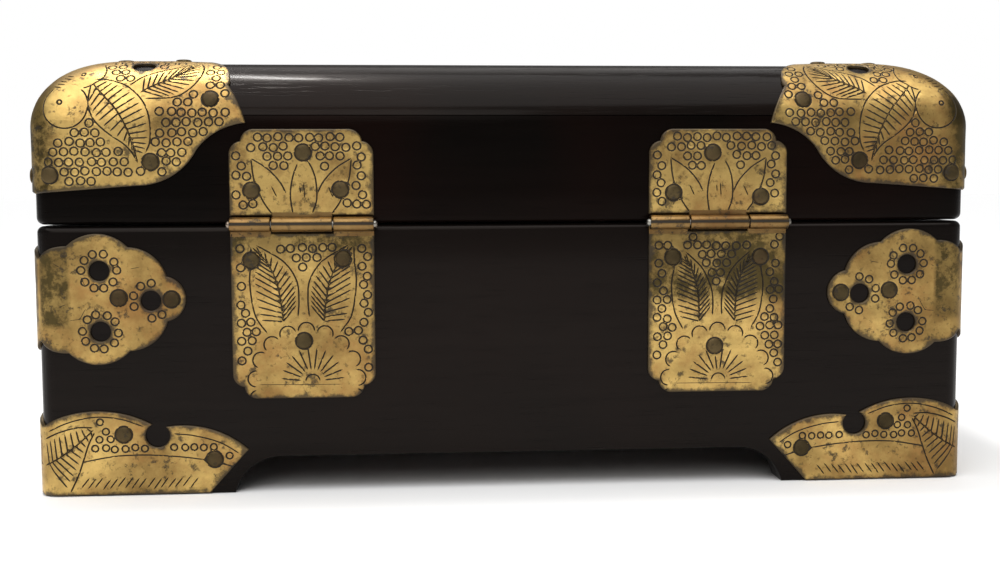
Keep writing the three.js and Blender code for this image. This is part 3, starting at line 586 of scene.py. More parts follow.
def node(tree, kind, settings=None, **inputs):
    """A shader node with its settings, and its inputs set to values or linked to other sockets."""
    made = tree.nodes.new("ShaderNode" + kind)
    for key, value in (settings or {}).items():
        setattr(made, key, value)
    for key, value in inputs.items():
        socket = made.inputs[int(key[1:]) if key[1:].isdigit() else key.replace("_", " ")]
        if isinstance(value, bpy.types.NodeSocket):
            tree.links.new(value, socket)
        else:
            socket.default_value = value
    return made


def tree_of(*values):
    """The node tree of the first socket among the values."""
    return next(v.id_data for v in values if isinstance(v, bpy.types.NodeSocket))


def ramp(factor, *stops):
    """A colour ramp of (place, grey or colour) stops."""
    made = node(factor.id_data, "ValToRGB", Fac=factor)
    elements = made.color_ramp.elements
    for k, (place, value) in enumerate(stops):
        element = elements[k] if k < 2 else elements.new(place)
        element.position = place
        element.color = (value, value, value, 1) if isinstance(value, (int, float)) else (*value, 1)
    return made.outputs["Color"]


def maths(kind, a, b=0.0, c=0.0, clamp=False):
    """One sum on sockets and plain values."""
    settings = {"operation": kind, "use_clamp": clamp}
    return node(tree_of(a, b, c), "Math", settings, i0=a, i1=b, i2=c).outputs[0]


def summed(parts):
    """All the parts added up."""
    total = parts[0]
    for part in parts[1:]:
        total = maths("ADD", total, part)
    return total


def vector_maths(kind, a, **inputs):
    """One sum on a vector socket."""
    return node(a.id_data, "VectorMath", {"operation": kind}, i0=a, **inputs).outputs[0]


def axes_of(vector):
    """A vector's three parts."""
    return list(node(vector.id_data, "SeparateXYZ", i0=vector).outputs)


def noise(place, scale, detail, rough=0.5):
    """Clouds of about 1 / scale metres, with finer ones in them."""
    made = node(place.id_data, "TexNoise", Vector=place, Scale=scale, Detail=detail,
                Roughness=rough)
    return made.outputs["Fac"]


def bump(height, strength, distance):
    """The normal of a surface raised by height times distance, in metres."""
    made = node(height.id_data, "Bump", Height=height, Strength=strength, Distance=distance)
    return made.outputs[0]


def mix(factor, a, b):
    """A mix of two colours: a at 0, b at 1."""
    made = node(tree_of(factor, a, b), "Mix", {"data_type": "RGBA"})
    for index, value in ((0, factor), (6, a), (7, b)):
        if isinstance(value, bpy.types.NodeSocket):
            value.id_data.links.new(value, made.inputs[index])
        else:
            made.inputs[index].default_value = value if index == 0 else (*value, 1)
    return made.outputs[2]


def shared(name, inputs, outputs, build):
    """A node group with named sockets. build(sources) gives the output sockets in order."""
    tree = bpy.data.node_groups.new(name, "ShaderNodeTree")
    kinds = {"value": "NodeSocketFloat", "vector": "NodeSocketVector"}
    for way, labels in (("INPUT", inputs), ("OUTPUT", outputs)):
        for label, kind in labels:
            tree.interface.new_socket(label, in_out=way, socket_type=kinds[kind])
    begin, end = tree.nodes.new("NodeGroupInput"), tree.nodes.new("NodeGroupOutput")
    for socket, made in zip(end.inputs, build(begin.outputs)):
        tree.links.new(made, socket)
    return tree


def use(group, **inputs):
    """A placed group's outputs."""
    return node(tree_of(*inputs.values()), "Group", {"node_tree": group}, **inputs).outputs


def finish_of(name, build, **principled):
    """A material whose Principled sockets are set to plain values, or to what build gives."""
    material = bpy.data.materials.new(name)
    material.use_nodes = True
    tree = material.node_tree
    shader = tree.nodes["Principled BSDF"]
    for key, value in principled.items():
        shader.inputs[key.replace("_", " ")].default_value = value
    for key, socket in build(tree).items():
        tree.links.new(socket, shader.inputs[key.replace("_", " ")])
    return material


def object_place(tree):
    """Each point's own coordinates, in metres."""
    return node(tree, "TexCoord").outputs["Object"]


def turned(place, rotation, scale=(1, 1, 1)):
    """The place turned by three angles and then stretched."""
    made = node(place.id_data, "Mapping", Vector=place, Rotation=rotation, Scale=scale)
    return made.outputs[0]


def grain_tree(source):
    """Long streaks, fine pores and slow clouds of a close-grained wood; Place runs along X."""
    streak, pores, cloud = (
        noise(vector_maths("MULTIPLY", source["Place"], i1=stretch), 1.0, detail, 0.6)
        for stretch, detail in (((18, 420, 420), 5.0), ((70, 1900, 1900), 3.0), ((9, 34, 34), 3.0)))
    pore_mask = ramp(pores, (0.30, 1.0), (0.42, 0.0))
    tone = maths("ADD", maths("MULTIPLY", streak, 0.62), maths("MULTIPLY", cloud, 0.38))
    height = maths("SUBTRACT", maths("MULTIPLY", streak, 0.25), maths("MULTIPLY", pore_mask, 0.5))
    return tone, pore_mask, height


def tarnish_tree(source):
    """Hand-polished brass: brown in clouds and patches, with specks, spots and blots of dirt."""
    def clouds_of(scale, detail, rough, shift):
        held = vector_maths("ADD", source["Place"], i1=(shift, shift * 0.7, -shift))
        return noise(held, scale, detail, rough)
    clouds = ramp(clouds_of(36, 6.0, 0.66, 0.0), (0.38, 0.0), (0.64, 1.0))
    patches = ramp(clouds_of(85, 8.0, 0.74, 3.1), (0.47, 0.0), (0.63, 1.0))
    specks = ramp(clouds_of(700, 2.0, 0.5, 1.7), (0.62, 0.0), (0.70, 1.0))
    spots = clouds_of(300, 4.0, 0.7, 5.3)
    blots = ramp(spots, (0.575, 0.0), (0.665, 1.0))
    dirt = maths("MULTIPLY_ADD", specks, 0.5, maths("MULTIPLY", blots, 0.95), clamp=True)
    age = maths("MULTIPLY", clouds, source["Age"], clamp=True)
    return spots, patches, dirt, age


GRAIN = shared("close_grain", [("Place", "vector")],
               [("Tone", "value"), ("Pores", "value"), ("Height", "value")], grain_tree)
TARNISH = shared("tarnish", [("Place", "vector"), ("Age", "value")],
                 [("Spots", "value"), ("Patches", "value"), ("Dirt", "value"), ("Age", "value")],
                 tarnish_tree)


def wood_finish(name, along_y, dark, light, red, relief=0.08, **shader):
    """Oiled hardwood, its grain along X, or along Y. The tone runs from dark to light with the
    streaks, goes red in slow clouds and is darkest in the pores; the dark streaks are rougher."""
    def build(tree):
        place = turned(object_place(tree), (0, 0, math.pi / 2 if along_y else 0))
        grain = use(GRAIN, Place=place)
        base = mix(ramp(grain["Tone"], (0.34, 0.0), (0.66, 1.0)), dark, light)
        base = mix(ramp(noise(place, 14.0, 2.0), (0.48, 0.0), (0.70, 0.6)), base, red)
        base = mix(maths("MULTIPLY", grain["Pores"], 0.35), base, tuple(0.35 * c for c in dark))
        rough = ramp(grain["Tone"], (0.3, 0.30), (0.7, 0.20))
        return {"Base_Color": base, "Roughness": rough,
                "Normal": bump(grain["Height"], relief, 0.0004)}
    return finish_of(name, build, **shader)


def brass_finish(name, age=0.95, bright=(0.66, 0.45, 0.150), brown=(0.23, 0.140, 0.047),
                 deep=(0.018, 0.012, 0.006), olive=(0.085, 0.062, 0.024), smooth=0.26, dull=0.44,
                 blush=(0.35, 0.165, 0.055), **shader):
    """Old brass, engraved: the 'cut' attribute is 1 in each line, 'rim' along the outline, where
    grime collects in spots, and a third attribute turns the sheet olive and brown, as tarnish and,
    on the rounded corners, as a painted dark reflection. The colour goes from bright to brown with
    age, to blush in patches, to olive with that tarnish and painted reflection and to deep with
    dirt and in the cuts, which are also rougher and less like metal."""
    def build(tree):
        place = object_place(tree)
        old = use(TARNISH, Place=place, Age=age)
        cut, rim, soil = (node(tree, "Attribute", {"attribute_name": key}).outputs["Fac"]
                          for key in ("cut", "rim", "soil"))
        colour = mix(old["Age"], bright, brown)
        colour = mix(maths("MULTIPLY", old["Patches"], 0.48), colour, blush)
        veil = maths("MULTIPLY_ADD", old["Patches"], 0.8, 0.40)
        # olive where the sheet is tarnished, and where a dark reflection is painted on the corners
        colour = mix(maths("MULTIPLY", soil, veil, clamp=True), colour, olive)
        grime = ramp(maths("MULTIPLY_ADD", rim, 0.46, old["Spots"]), (0.64, 0.0), (0.84, 0.85))
        dirt = maths("MAXIMUM", maths("MULTIPLY", old["Dirt"], 0.85), grime)
        dark = ramp(cut, (0.03, 0.0), (0.20, 0.98))
        colour = mix(dark, mix(dirt, colour, deep), deep)
        wave = noise(place, 260.0, 4.0, 0.7)
        scratch = noise(turned(place, (0.3, 0.5, 0.9), (60, 900, 900)), 1.0, 3.0)
        height = maths("MULTIPLY_ADD", noise(place, 90.0, 1.0), 1.2, maths("MULTIPLY", wave, 0.30))
        height = maths("MULTIPLY_ADD", scratch, 0.12, height)
        rough = maths("MULTIPLY_ADD", wave, dull - smooth, smooth)
        rough = maths("MULTIPLY_ADD", old["Age"], 0.14, rough)
        rough = maths("MULTIPLY_ADD", dark, 0.25, rough, clamp=True)
        metal = ramp(maths("MAXIMUM", dark, dirt), (0.2, 1.0), (1.0, 0.35))
        return {"Base_Color": colour, "Roughness": rough, "Metallic": metal,
                "Normal": bump(height, 0.35, 0.0007)}
    return finish_of(name, build, **shader)


WOOD_TINT = (1.0, 0.86, 0.78, 1)


def both_ways(name, *values, **shader):
    """The same wood twice: with its grain along X, and along Y."""
    return [wood_finish(f"{name}_{way}", way == "across", *values, **shader)
            for way in ("along", "across")]


def dark_woods(name, dark, light, red, specular, coat, relief=0.08):
    """A dark wood under a thin warm polish."""
    return both_ways(name, dark, light, red, relief, Specular_IOR_Level=specular,
                     Specular_Tint=WOOD_TINT, Coat_Weight=coat, Coat_Tint=WOOD_TINT,
                     Coat_Roughness=0.10)


CASE_WOOD = dark_woods("case_wood", (0.0030, 0.0023, 0.0021), (0.0052, 0.0039, 0.0034),
                       (0.0066, 0.0040, 0.0033), 0.10, 0.03)
RAIL_WOOD = dark_woods("rail_wood", (0.0013, 0.0010, 0.0009), (0.0030, 0.0022, 0.0019),
                       (0.0075, 0.0024, 0.0017), 0.04, 0.01)
TOP_WOOD = dark_woods("top_wood", (0.0026, 0.0020, 0.0018), (0.0066, 0.0047, 0.0039),
                      (0.0085, 0.0042, 0.0031), 0.055, 0.085, 0.25)
WOODS = {"board": CASE_WOOD, "lid_rail": RAIL_WOOD, "top_frame": TOP_WOOD}
TRAY_WOOD = both_ways("tray_wood", (0.020, 0.0085, 0.0050), (0.050, 0.021, 0.011),
                      (0.055, 0.014, 0.007), Specular_IOR_Level=0.4, Coat_Weight=0.2,
                      Coat_Roughness=0.2)
BRASS = brass_finish("mount_brass")
HINGE_BRASS = brass_finish("hinge_brass")
KNUCKLE_BRASS = brass_finish(
    "knuckle_brass", 0.8, bright=(0.25, 0.155, 0.060), brown=(0.11, 0.063, 0.023),
    smooth=0.24, dull=0.42, blush=(0.17, 0.072, 0.028))
NAIL_BRASS = brass_finish(
    "nail_brass", 1.0, bright=(0.115, 0.084, 0.040), brown=(0.048, 0.036, 0.019),
    smooth=0.4, dull=0.62, blush=(0.095, 0.058, 0.030))
PIN_STEEL = brass_finish(
    "pin_steel", 0.8, bright=(0.34, 0.33, 0.30), brown=(0.13, 0.12, 0.10), deep=(0.04, 0.035, 0.03))

# ------------------------------------------------------------------ camera, light and floor


def make_camera():
    """Behind the box, a little to the right of its hinges' middle and below its top, looking
    slightly down."""
    data = bpy.data.cameras.new("camera")
    data.lens, data.sensor_width = 46.8, 36
    data.clip_start, data.clip_end = 0.01, 20
    right = (-0.99696, 0.07788, -0.00357)
    up = (-0.0100, -0.0828, 0.9965)
    back = (0.0773, 0.9935, 0.0833)
    place = (0.03065, 0.4436, 0.08415)
    camera = placed("camera", data)
    camera.matrix_world = Matrix([*zip(right, up, back, place), (0, 0, 0, 1)])
    bpy.context.scene.camera = camera


def lamp(name, place, aim, size, power, tint):
    """A soft box at place, facing aim."""
    data = bpy.data.lights.new(name, "AREA")
    data.shape, data.size, data.size_y = "RECTANGLE", *size
    data.energy, data.color = power, tint
    made = placed(name, data)
    made.location = place
    made.rotation_euler = (Vector(aim) - Vector(place)).to_track_quat("-Z", "Y").to_euler()


def make_studio():
    """A flat pale floor, a plain surround that looks white and lights softly, daylight from a very
    wide sun, and three soft boxes."""
    ground = bpy.data.meshes.new("floor")
    ground.from_pydata([(-6, -6, 0), (6, -6, 0), (6, 6, 0), (-6, 6, 0)], [], [(0, 1, 2, 3)])
    ground.materials.append(finish_of(
        "pale_floor", lambda tree: {}, Base_Color=(0.95, 0.95, 0.95, 1), Roughness=0.85,
        Specular_IOR_Level=0.15))
    placed("floor", ground)
    scene = bpy.context.scene
    world = bpy.data.worlds.new("surround")
    world.use_nodes = True
    tree = world.node_tree
    shade = tree.nodes["Background"]
    seen = node(tree, "LightPath").outputs["Is Camera Ray"]
    tree.links.new(maths("MULTIPLY_ADD", seen, 0.80, 0.20), shade.inputs["Strength"])
    shade.inputs["Color"].default_value = (1.0, 1.0, 1.0, 1)
    scene.world = world
    scene.view_settings.view_transform = "Standard"
    daylight = bpy.data.lights.new("daylight", "SUN")
    daylight.energy, daylight.angle = 2.9, math.radians(75)
    placed("daylight", daylight).rotation_euler = (math.radians(-14), math.radians(6), 0)
    lamp("rear_key", (0.25, 1.15, 0.62), (0, 0.05, 0.07), (0.75, 0.40), 2.2, (1, 0.97, 0.93))
    lamp("ceiling_lamp", (0.155, -0.10, 0.99), (0.045, 0.09, 0.11), (0.05, 0.18), 2.8,
         (1, 0.98, 0.95))
    lamp("far_softbox", (0.1, -0.60, 0.95), (0, 0.09, 0.11), (1.2, 0.45), 2.4, (1, 0.98, 0.96))


make_camera()
make_studio()

# ------------------------------------------------------------------ mounts

EDGE_V = SHOULDER_START + SHOULDER * np.pi / 2        # v where the lid's top begins


def over_lid(u, v, h):
    """The lid's surface by arc length: v is the height up to the shoulder, goes on along its
    quarter circle, and then in over the top; u is the way from the sharp corner. A point inset by
    d lies u - d along its own, smaller, rounded rectangle."""
    phi = np.clip((v - SHOULDER_START) / SHOULDER, 0, np.pi / 2)
    inward = np.maximum(v - EDGE_V, 0)
    flat = v > EDGE_V
    inset = SHOULDER * (1 - np.cos(phi)) + inward
    radius = np.maximum(CORNER + SOFTENING * SHOULDER * (1 - np.cos(phi)) - inward, 0.3)
    x, y, nx, ny = rounded_corner(HALF_W - inset, HALF_D - inset, u - inset, radius)
    z = np.minimum(v, SHOULDER_START) + SHOULDER * np.sin(phi) + np.where(flat, crown(x, y), 0)
    return np.stack([x + nx * np.cos(phi) * h, y + ny * np.cos(phi) * h, z + np.sin(phi) * h], -1)


def side_v(z):
    """v of a height on the side face or the shoulder."""
    rise = np.clip((np.asarray(z, float) - SHOULDER_START) / SHOULDER, 0, 1)
    return np.minimum(z, SHOULDER_START) + SHOULDER * np.arcsin(rise)


def top_v(inset):
    """v of a distance in from the side face, on the shoulder or the top."""
    inset = np.asarray(inset, float)
    turn = np.arccos(np.clip(1 - inset / SHOULDER, 0, 1))
    return SHOULDER_START + SHOULDER * turn + np.maximum(inset - SHOULDER, 0)


def inset_of(v):
    """The way in from the side face at v: the diagonal of the plan, and the seam of a lid mount."""
    phi = np.clip((v - SHOULDER_START) / SHOULDER, 0, np.pi / 2)
    return SHOULDER * (1 - np.cos(phi)) + np.maximum(v - EDGE_V, 0)


def on_lid_seam(points):
    """Which flat points lie on the lid's diagonal."""
    return np.abs(points[:, 0] - inset_of(points[:, 1])) < 1e-4


def on_case_seam(points):
    """Which flat points lie on the case's upright edge."""
    return np.abs(points[:, 0]) < 1e-4


def round_hole(u, v, radius, stretch=1.0, sides=20):
    """A circle's outline, stretched upwards."""
    return circle((u, v), (radius, radius * stretch), full_turn(sides))


def with_seam(path, at_v, count):
    """Closes a half outline down its seam, from its last point to its first."""
    v = np.linspace(path[-1, 1], path[0, 1], count + 1)[1:-1]
    return np.concatenate([path, np.stack([at_v(v), v], -1)])


def upright(v):
    """u of the seam on the case: 0 at every height."""
    return 0 * v


def smooth_path(points, steps=26):
    """A Catmull-Rom curve through a few points."""
    points = np.asarray(points, float)
    p = np.concatenate([[2 * points[0] - points[1]], points, [2 * points[-1] - points[-2]]])
    t = np.linspace(0, len(points) - 1 - 1e-9, steps)
    k = t.astype(int)
    f = (t - k)[:, None]
    a, b, c, d = p[k], p[k + 1], p[k + 2], p[k + 3]
    return 0.5 * (2 * b + (c - a) * f + (2 * a - 5 * b + 4 * c - d) * f**2
                  + (3 * b - 3 * c + d - a) * f**3)


def at_share(path, share):
    """The point a share of the way along a path."""
    k = np.clip(share, 0, 1) * (len(path) - 1)
    return np.array([np.interp(k, np.arange(len(path)), path[:, i]) for i in (0, 1)])


VEIN_STEPS = np.array([0.02, 0.06, 0.2, 0.4, 0.6, 0.8, 0.93, 1.0])[:, None]


def feather(marks, rib, left, right, left_veins, right_veins, reach=0.88, lead=0.16,
            span=(0.05, 0.84)):
    """A leaf with a midrib, two edges and veins: each vein leaves the midrib and ends short of the
    edge, lead further along. Gives the leaf's outline."""
    rib, left, right = (smooth_path(p) for p in (rib, left, right))
    for path, width in ((rib, 0.4), (left, 0.42), (right, 0.42)):
        marks.cut(path, width, 0.19)
    for edge, veins in ((left, left_veins), (right, right_veins)):
        for share in np.linspace(*span, veins):
            root, end = at_share(rib, share), at_share(edge, share + lead)
            end = root + (end - root) * reach
            if np.linalg.norm(end - root) > 1.0:
                marks.cut(root + (end - root) * VEIN_STEPS, CUT_WIDTH, 0.18)
    return np.concatenate([left, right[::-1]])


LID_NAILS = [(46.6, 105.5), (31.0, 89.0), (4.9, 85.6), (18.5, 126.0), (37.5, 125.2)]
FRUIT = (9.2, 103.7)
LOW_FEATHER = (         # midrib, left edge and right edge
    [(16, 109.8), (19.1, 106.2), (22.3, 102.6), (24.6, 98.8), (26, 95.3), (26.9, 92.3),
     (27.8, 88.9)],
    [(15.5, 109.6), (15.2, 106.5), (15.3, 103.4), (16.2, 100.8), (17.8, 98.7), (20.8, 96.1),
     (24.4, 93.6), (26.5, 91.2), (27.7, 88.7)],
    [(16.2, 111.4), (18.5, 111.6), (20.9, 111.0), (24.6, 109.4), (28.1, 106.2), (30.3, 102.6),
     (31.2, 98.2), (30.9, 94.0), (29.6, 91.2)])
HIGH_FEATHER = (
    [(28.3, 107.2), (30.8, 109.0), (33.4, 110.4), (36.1, 111.9), (38.2, 113.7), (40.2, 115.7),
     (42.8, 118.4)],
    [(25.4, 109.4), (28.9, 112.6), (33.2, 114.9), (37.8, 117.0), (42.0, 119.3), (43.3, 119.4)],
    [(29.5, 105.6), (33.5, 105.6), (37.0, 105.9), (39.4, 106.9), (42.1, 109.5), (43.9, 113.1),
     (44.2, 116.6), (43.3, 119.3)])


def lid_mount_shell(seed):
    """Half of a lid mount: its outline runs from the corner over three faces to the diagonal. A
    fruit with a leafy lobe sits at the corner, and two feathers leave it."""
    side = outline((0, LID_RIM + 8.2), ((27, LID_RIM + 10.2),), ((42.9, LID_TOP - 23.8), -2.6),
                   ((55.8, LID_TOP - 16.8), 1.6), ((51.1, LID_TOP - 7), -0.5),
                   ((51.3, LID_TOP - 4.8), -0.3))
    top = outline((51.3, 6.0), ((45.6, 13.5), -1.2), ((34.2, 20), 1.6))
    lobe = arc((34.2, 20), (20, 34.2), -4.2, 24)[:12]
    top = np.concatenate([top, lobe])
    top[-1] = top[-1].mean()
    half = np.concatenate([
        np.stack([side[:, 0], side_v(side[:, 1])], -1),
        np.stack([top[:, 0], top_v(top[:, 1])], -1),
    ])
    border = with_seam(half, inset_of, 62)
    hole = round_hole(28.2, SHOULDER_START + SHOULDER * math.radians(63), 3.0, 0.9)
    marks = Engraving()
    fruit = circle(FRUIT, 5.9, np.radians(np.linspace(128, 412, 40)))
    marks.cut(fruit, 0.42, 0.2)
    marks.cut(outline((13.4, 108.6), ((16.6, 110.4), -0.3), ((18.8, 114.2), -0.6),
                      ((17.2, 118.6), -0.5)), 0.4, 0.18)
    for k in range(5):
        v = 108.6 + 0.95 * k
        start = inset_of(v + 0.6) + 1.0
        marks.cut(line((start, v + 0.5), (start + 3.6 + 0.3 * (k % 2), v), 6), 0.3)
    marks.rings([(7.8, 104.5), (13.0, 113.4)], 0.85)
    figures = [fruit, feather(marks, *LOW_FEATHER, 13, 15), feather(marks, *HIGH_FEATHER, 11, 12)]
    figures.append(np.array([(inset_of(102.0), 99.5), (3, 98.5), (9, 97.2), (15, 104), (19, 112),
                             (18.5, 119), (9, 120), (3, 108)]))

    def clear(p):
        return ((p[:, 0] > inset_of(p[:, 1]) + 1.5) & inside(p, border)
                & (distance_to(p, [hole]) > 1.7))
    marks.ground(border[:len(half)], figures + [hole], LID_NAILS, 2.78, 1.9, seed, within=clear)

    def soil(u, v):
        # near is a painted dark reflection on the rounded upright corner, strongest by the diagonal
        # and fading out over the shoulder; the two round spots are tarnish
        near = fade(u - inset_of(v), 9.0, 2.0) * fade(v, 114, 103)
        stain = (np.exp(-((u - 34) ** 2 + (v - 99.5) ** 2) / 9)
                 + np.exp(-((u - 7) ** 2 + (v - 86) ** 2) / 14))
        return np.clip(1.35 * near + stain, 0, 1.3)
    return sheet_shell(border, [hole], marks, over_lid, on_lid_seam, 1.25, seed=seed, soil=soil)


STRAP_Z = BODY_TOP - 19.4
STRAP_NAILS = [(21.9, STRAP_Z + 0.4), (35.6, STRAP_Z - 0.1)]


def strap_shell(seed):
    """Half of a middle strap: a cloud with three round holes, each in a wreath of ring punches."""
    half = outline((0, 10.8), ((8.5, 14.2), 1), ((24.4, 13.8), 3.4), ((34.4, 6), 2.1),
                   ((34.4, -6), 4.9), ((24.4, -13.8), 2.1), ((8.5, -14.2), 3.4),
                   ((0, -10.8), 1))[::-1]
    half = half + (0, STRAP_Z)
    border = with_seam(half, upright, 22)
    holes = [round_hole(u, STRAP_Z + v, 2.7, sides=24)
             for u, v in ((16.9, 7.6), (30.2, -0.4), (16.9, -8.5))]
    marks = Engraving()
    rng = np.random.default_rng(seed)
    for hole in holes:
        turn = np.arange(10) * 0.6283 + rng.uniform(0, 6) + rng.uniform(-0.07, 0.07, 10)
        ring = circle(hole.mean(0), 4.65, turn)
        keep = (distance_to(ring, [STRAP_NAILS]) > 3.0) & (distance_to(ring, [border]) > 1.5)
        keep &= rng.uniform(size=10) > 0.08
        marks.rings(ring[keep], 1.3)
    for _ in range(7):                      # stray scratches
        a = np.array([rng.uniform(5, 28), STRAP_Z + rng.uniform(-9, 9)])
        b = a + rng.uniform(-4, 4, 2)
        spots = np.stack([a, b, (a + b) / 2])
        if inside(b[None], border)[0] and distance_to(spots, holes).min() > 1.2:
            marks.cut(line(a, b, 6), 0.16, 0.06)
    marks.nail_rings(STRAP_NAILS)

    def soil(u, v):
        # band is a painted dark reflection down the rounded upright corner, 1.5 to 9 mm from its
        # edge; the round spot by the upper edge is tarnish
        band = fade(u, 0.0, 1.5) * fade(u, 9.6, 8.4) * fade(v, STRAP_Z - 8.5, STRAP_Z - 6)
        return 1.25 * band + 0.6 * np.exp(-((u - 12) ** 2 + (v - STRAP_Z - 14) ** 2) / 16)
    return sheet_shell(border, holes, marks, case_corner, on_case_seam, 1.2, seed=seed,
                       soil=soil)


FOOT_NAILS = [(22.2, 16.6), (46.0, 9.5)]


def foot_shell(seed):
    """Half of a foot mount: two lobes with a round bite between, ring punches over an arched line,
    hatching under it, and a feather at the corner."""
    def bite(degrees):
        return tuple(circle((31.0, 16.2), 3.2, math.radians(degrees)))
    half = outline((0, 18.8), (bite(115), 4), (bite(270), -2.5), (bite(45), -2.1),
                   ((FOOT + 3.7, APRON + 2.2), 2.6), ((FOOT - 6.7, 0.3),), ((0, 0.3),))[::-1]
    border = with_seam(half, upright, 16)
    marks = Engraving()
    arch = smooth_path([(51.2, 7.3), (44.6, 9.1), (37.9, 10.2), (31.3, 10.8), (25.9, 11.0),
                        (19.3, 10.7), (11.6, 9.4)], 40)
    marks.cut(arch, 0.38)
    for lobe in ([(52.6, 10.9), (48.5, 13.5), (44.6, 15.0), (39.9, 16.1), (35.2, 16.6)],
                 [(27.6, 18.6), (21.3, 20.8), (14.6, 21.4), (8, 20.1), (2, 17.6)]):
        marks.cut(smooth_path(lobe), 0.36)
    rng = np.random.default_rng(seed)
    for u in np.linspace(13.4, 42.0, 16):
        high = np.array([u, 5.5]) + rng.uniform(-0.25, 0.25, 2)
        marks.cut(line(high, high + (-2.8, -3.6 + rng.uniform(-0.3, 0.3)), 6), 0.36, 0.17)
    feather(marks, [(14.4, 18.0), (9.3, 13.5), (4.6, 10.3), (0.6, 8.4)],
            [(14.2, 18.6), (9.8, 18.6), (5.2, 17.4), (0.9, 15.6)],
            [(14.6, 17.4), (13.0, 14.2), (11.6, 10.1), (10.0, 5.6), (7.8, 1.0)],
            9, 10, 0.86, 0.1, (0.04, 0.88))
    corner = np.array([(14.4, 18.0), (0, 19.5), (0, 0), (11.0, 0), (12.6, 11.0)])

    def above(p):
        over = p[:, 1] > np.interp(p[:, 0], arch[::-1, 0], arch[::-1, 1]) + 1.2
        return over & (p[:, 0] > 1.5) & ~inside(p, corner)
    marks.ground(border, [], FOOT_NAILS, 2.6, 1.6, seed, 1.16, within=above)
    return sheet_shell(border, [], marks, case_corner, on_case_seam, 1.3, seed=seed)


def over_back(middle):
    """The back face's own plane, u along X from the hinge's middle."""
    def surface(u, v, h):
        return np.stack([middle + u, HALF_D + h, v + 0 * u], -1)
    return surface


def leaf_outline(half, near, far):
    """A hinge leaf: straight at the barrel, with a cusped step at each far corner."""
    way = math.copysign(1, far - near)
    step, drop = far - way * 6.4, far - way * 3.2
    return outline((-half, near), ((-half, step),), ((-half + 3, drop), way * 0.8),
                   ((-half + 6.2, far), way * 0.8), ((half - 6.2, far),),
                   ((half - 3, drop), way * 0.8), ((half, step), way * 0.8), ((half, near),),
                   ((-half + 0.9, near),))[::-1 if way > 0 else 1]


PIN_Y, PIN_Z = HALF_D + 2.1, SEAM
BARREL = 2.3                              # from the pin's middle to the leaves' near edges
HINGE_HALF = 19.0
KNUCKLES = {"upper": ((-8, 8, 1),), "lower": ((-19, -8.3, -1), (8.3, 19, -1))}
HINGE_X = HALF_W - 51.3 - HINGE_HALF
HAND_CUT = {        # what differs between the two hinges, which were cut by hand
    "right": dict(
        upper_nails=[(-0.5, 91.4), (13.2, 81.4), (-10.2, 81.6)],
        lower_nails=[(13.6, 62.9), (-10.7, 63.2), (0.0, 41.2)], flower=(-2.2, 30.2),
        rib=[(5.5, 46.4), (5.9, 51.0), (7.1, 57.2), (9.6, 62.4), (13.2, 66.4)],
        outer=[(9.6, 43.2), (12.8, 48.2), (14.1, 56.6), (13.7, 62.4), (13.6, 66.6)],
        inner=[(1.5, 47.6), (1.2, 52.7), (1.8, 57.6), (5.2, 62.6), (12.4, 67.0)],
        dull=(60.0, 68.0)),
    "left": dict(
        upper_nails=[(1.6, 91.2), (12.3, 80.4), (-11.8, 79.2)],
        lower_nails=[(12.4, 62.9), (-11.9, 62.8), (0.6, 38.4)], flower=(-0.5, 28.9),
        rib=[(5.0, 45.2), (5.2, 51.9), (6.5, 58.0), (9.4, 63.4)],
        outer=[(9.4, 43.0), (11.8, 48.0), (12.7, 54.5), (12.2, 59.0), (11.2, 63.2)],
        inner=[(1.3, 46.8), (1.2, 51.0), (1.9, 55.0), (4.4, 60.0), (9.0, 64.4)],
        dull=(49.0, 53.0)),
}


def upper_leaf_shell(middle, hand, seed):
    """The lid's leaf: three petals rising from the barrel, on a ground of ring punches."""
    border = leaf_outline(HINGE_HALF, PIN_Z + BARREL, SHOULDER_START - 0.4)
    marks = Engraving()
    petal = [smooth_path([(-2.7, 75.2), (-3.9, 79.0), (-3.8, 83.7), (-2.9, 87.0), (-1.7, 89.2)]),
             smooth_path([(2.4, 75.2), (3.0, 80.0), (2.4, 84.6), (1.0, 88.6)])]
    sides = []
    for s in (-1, 1):
        outer = smooth_path([(s * 7.9, 75.2), (s * 10.2, 78.6), (s * 12.4, 84.0), (s * 13.2, 89.9)])
        inner = smooth_path([(s * 13.2, 89.9), (s * 9.0, 87.2), (s * 5.8, 83.8), (s * 4.1, 80.6)])
        sides.append((outer, inner))
    for path in petal + [p for pair in sides for p in pair]:
        marks.cut(path, 0.42, 0.17)
    for a, b in (((-0.9, 78.2), (-0.5, 83.4)), ((-8.6, 78.8), (-7.0, 82.4)),
                 ((6.2, 79.0), (8.0, 82.6)), ((0.3, 80.2), (0.5, 82.9))):
        marks.cut(line(a, b, 6), 0.3)
    figures = [np.concatenate([petal[0], petal[1][::-1]])]
    for outer, inner in sides:
        figures.append(np.concatenate([outer, inner, [(0, 75.0)]]))
    marks.ground(border, figures, hand["upper_nails"], 2.74, 1.8, seed)

    def soil(u, v):
        stain = np.exp(-((np.abs(u) - 12) ** 2 + (v - 81) ** 2) / 20)
        return 0.42 * fade(v, 78, 90) + 0.35 * stain
    return sheet_shell(border, [], marks, over_back(middle), seed=seed, face=LEAF_FACE, soil=soil)


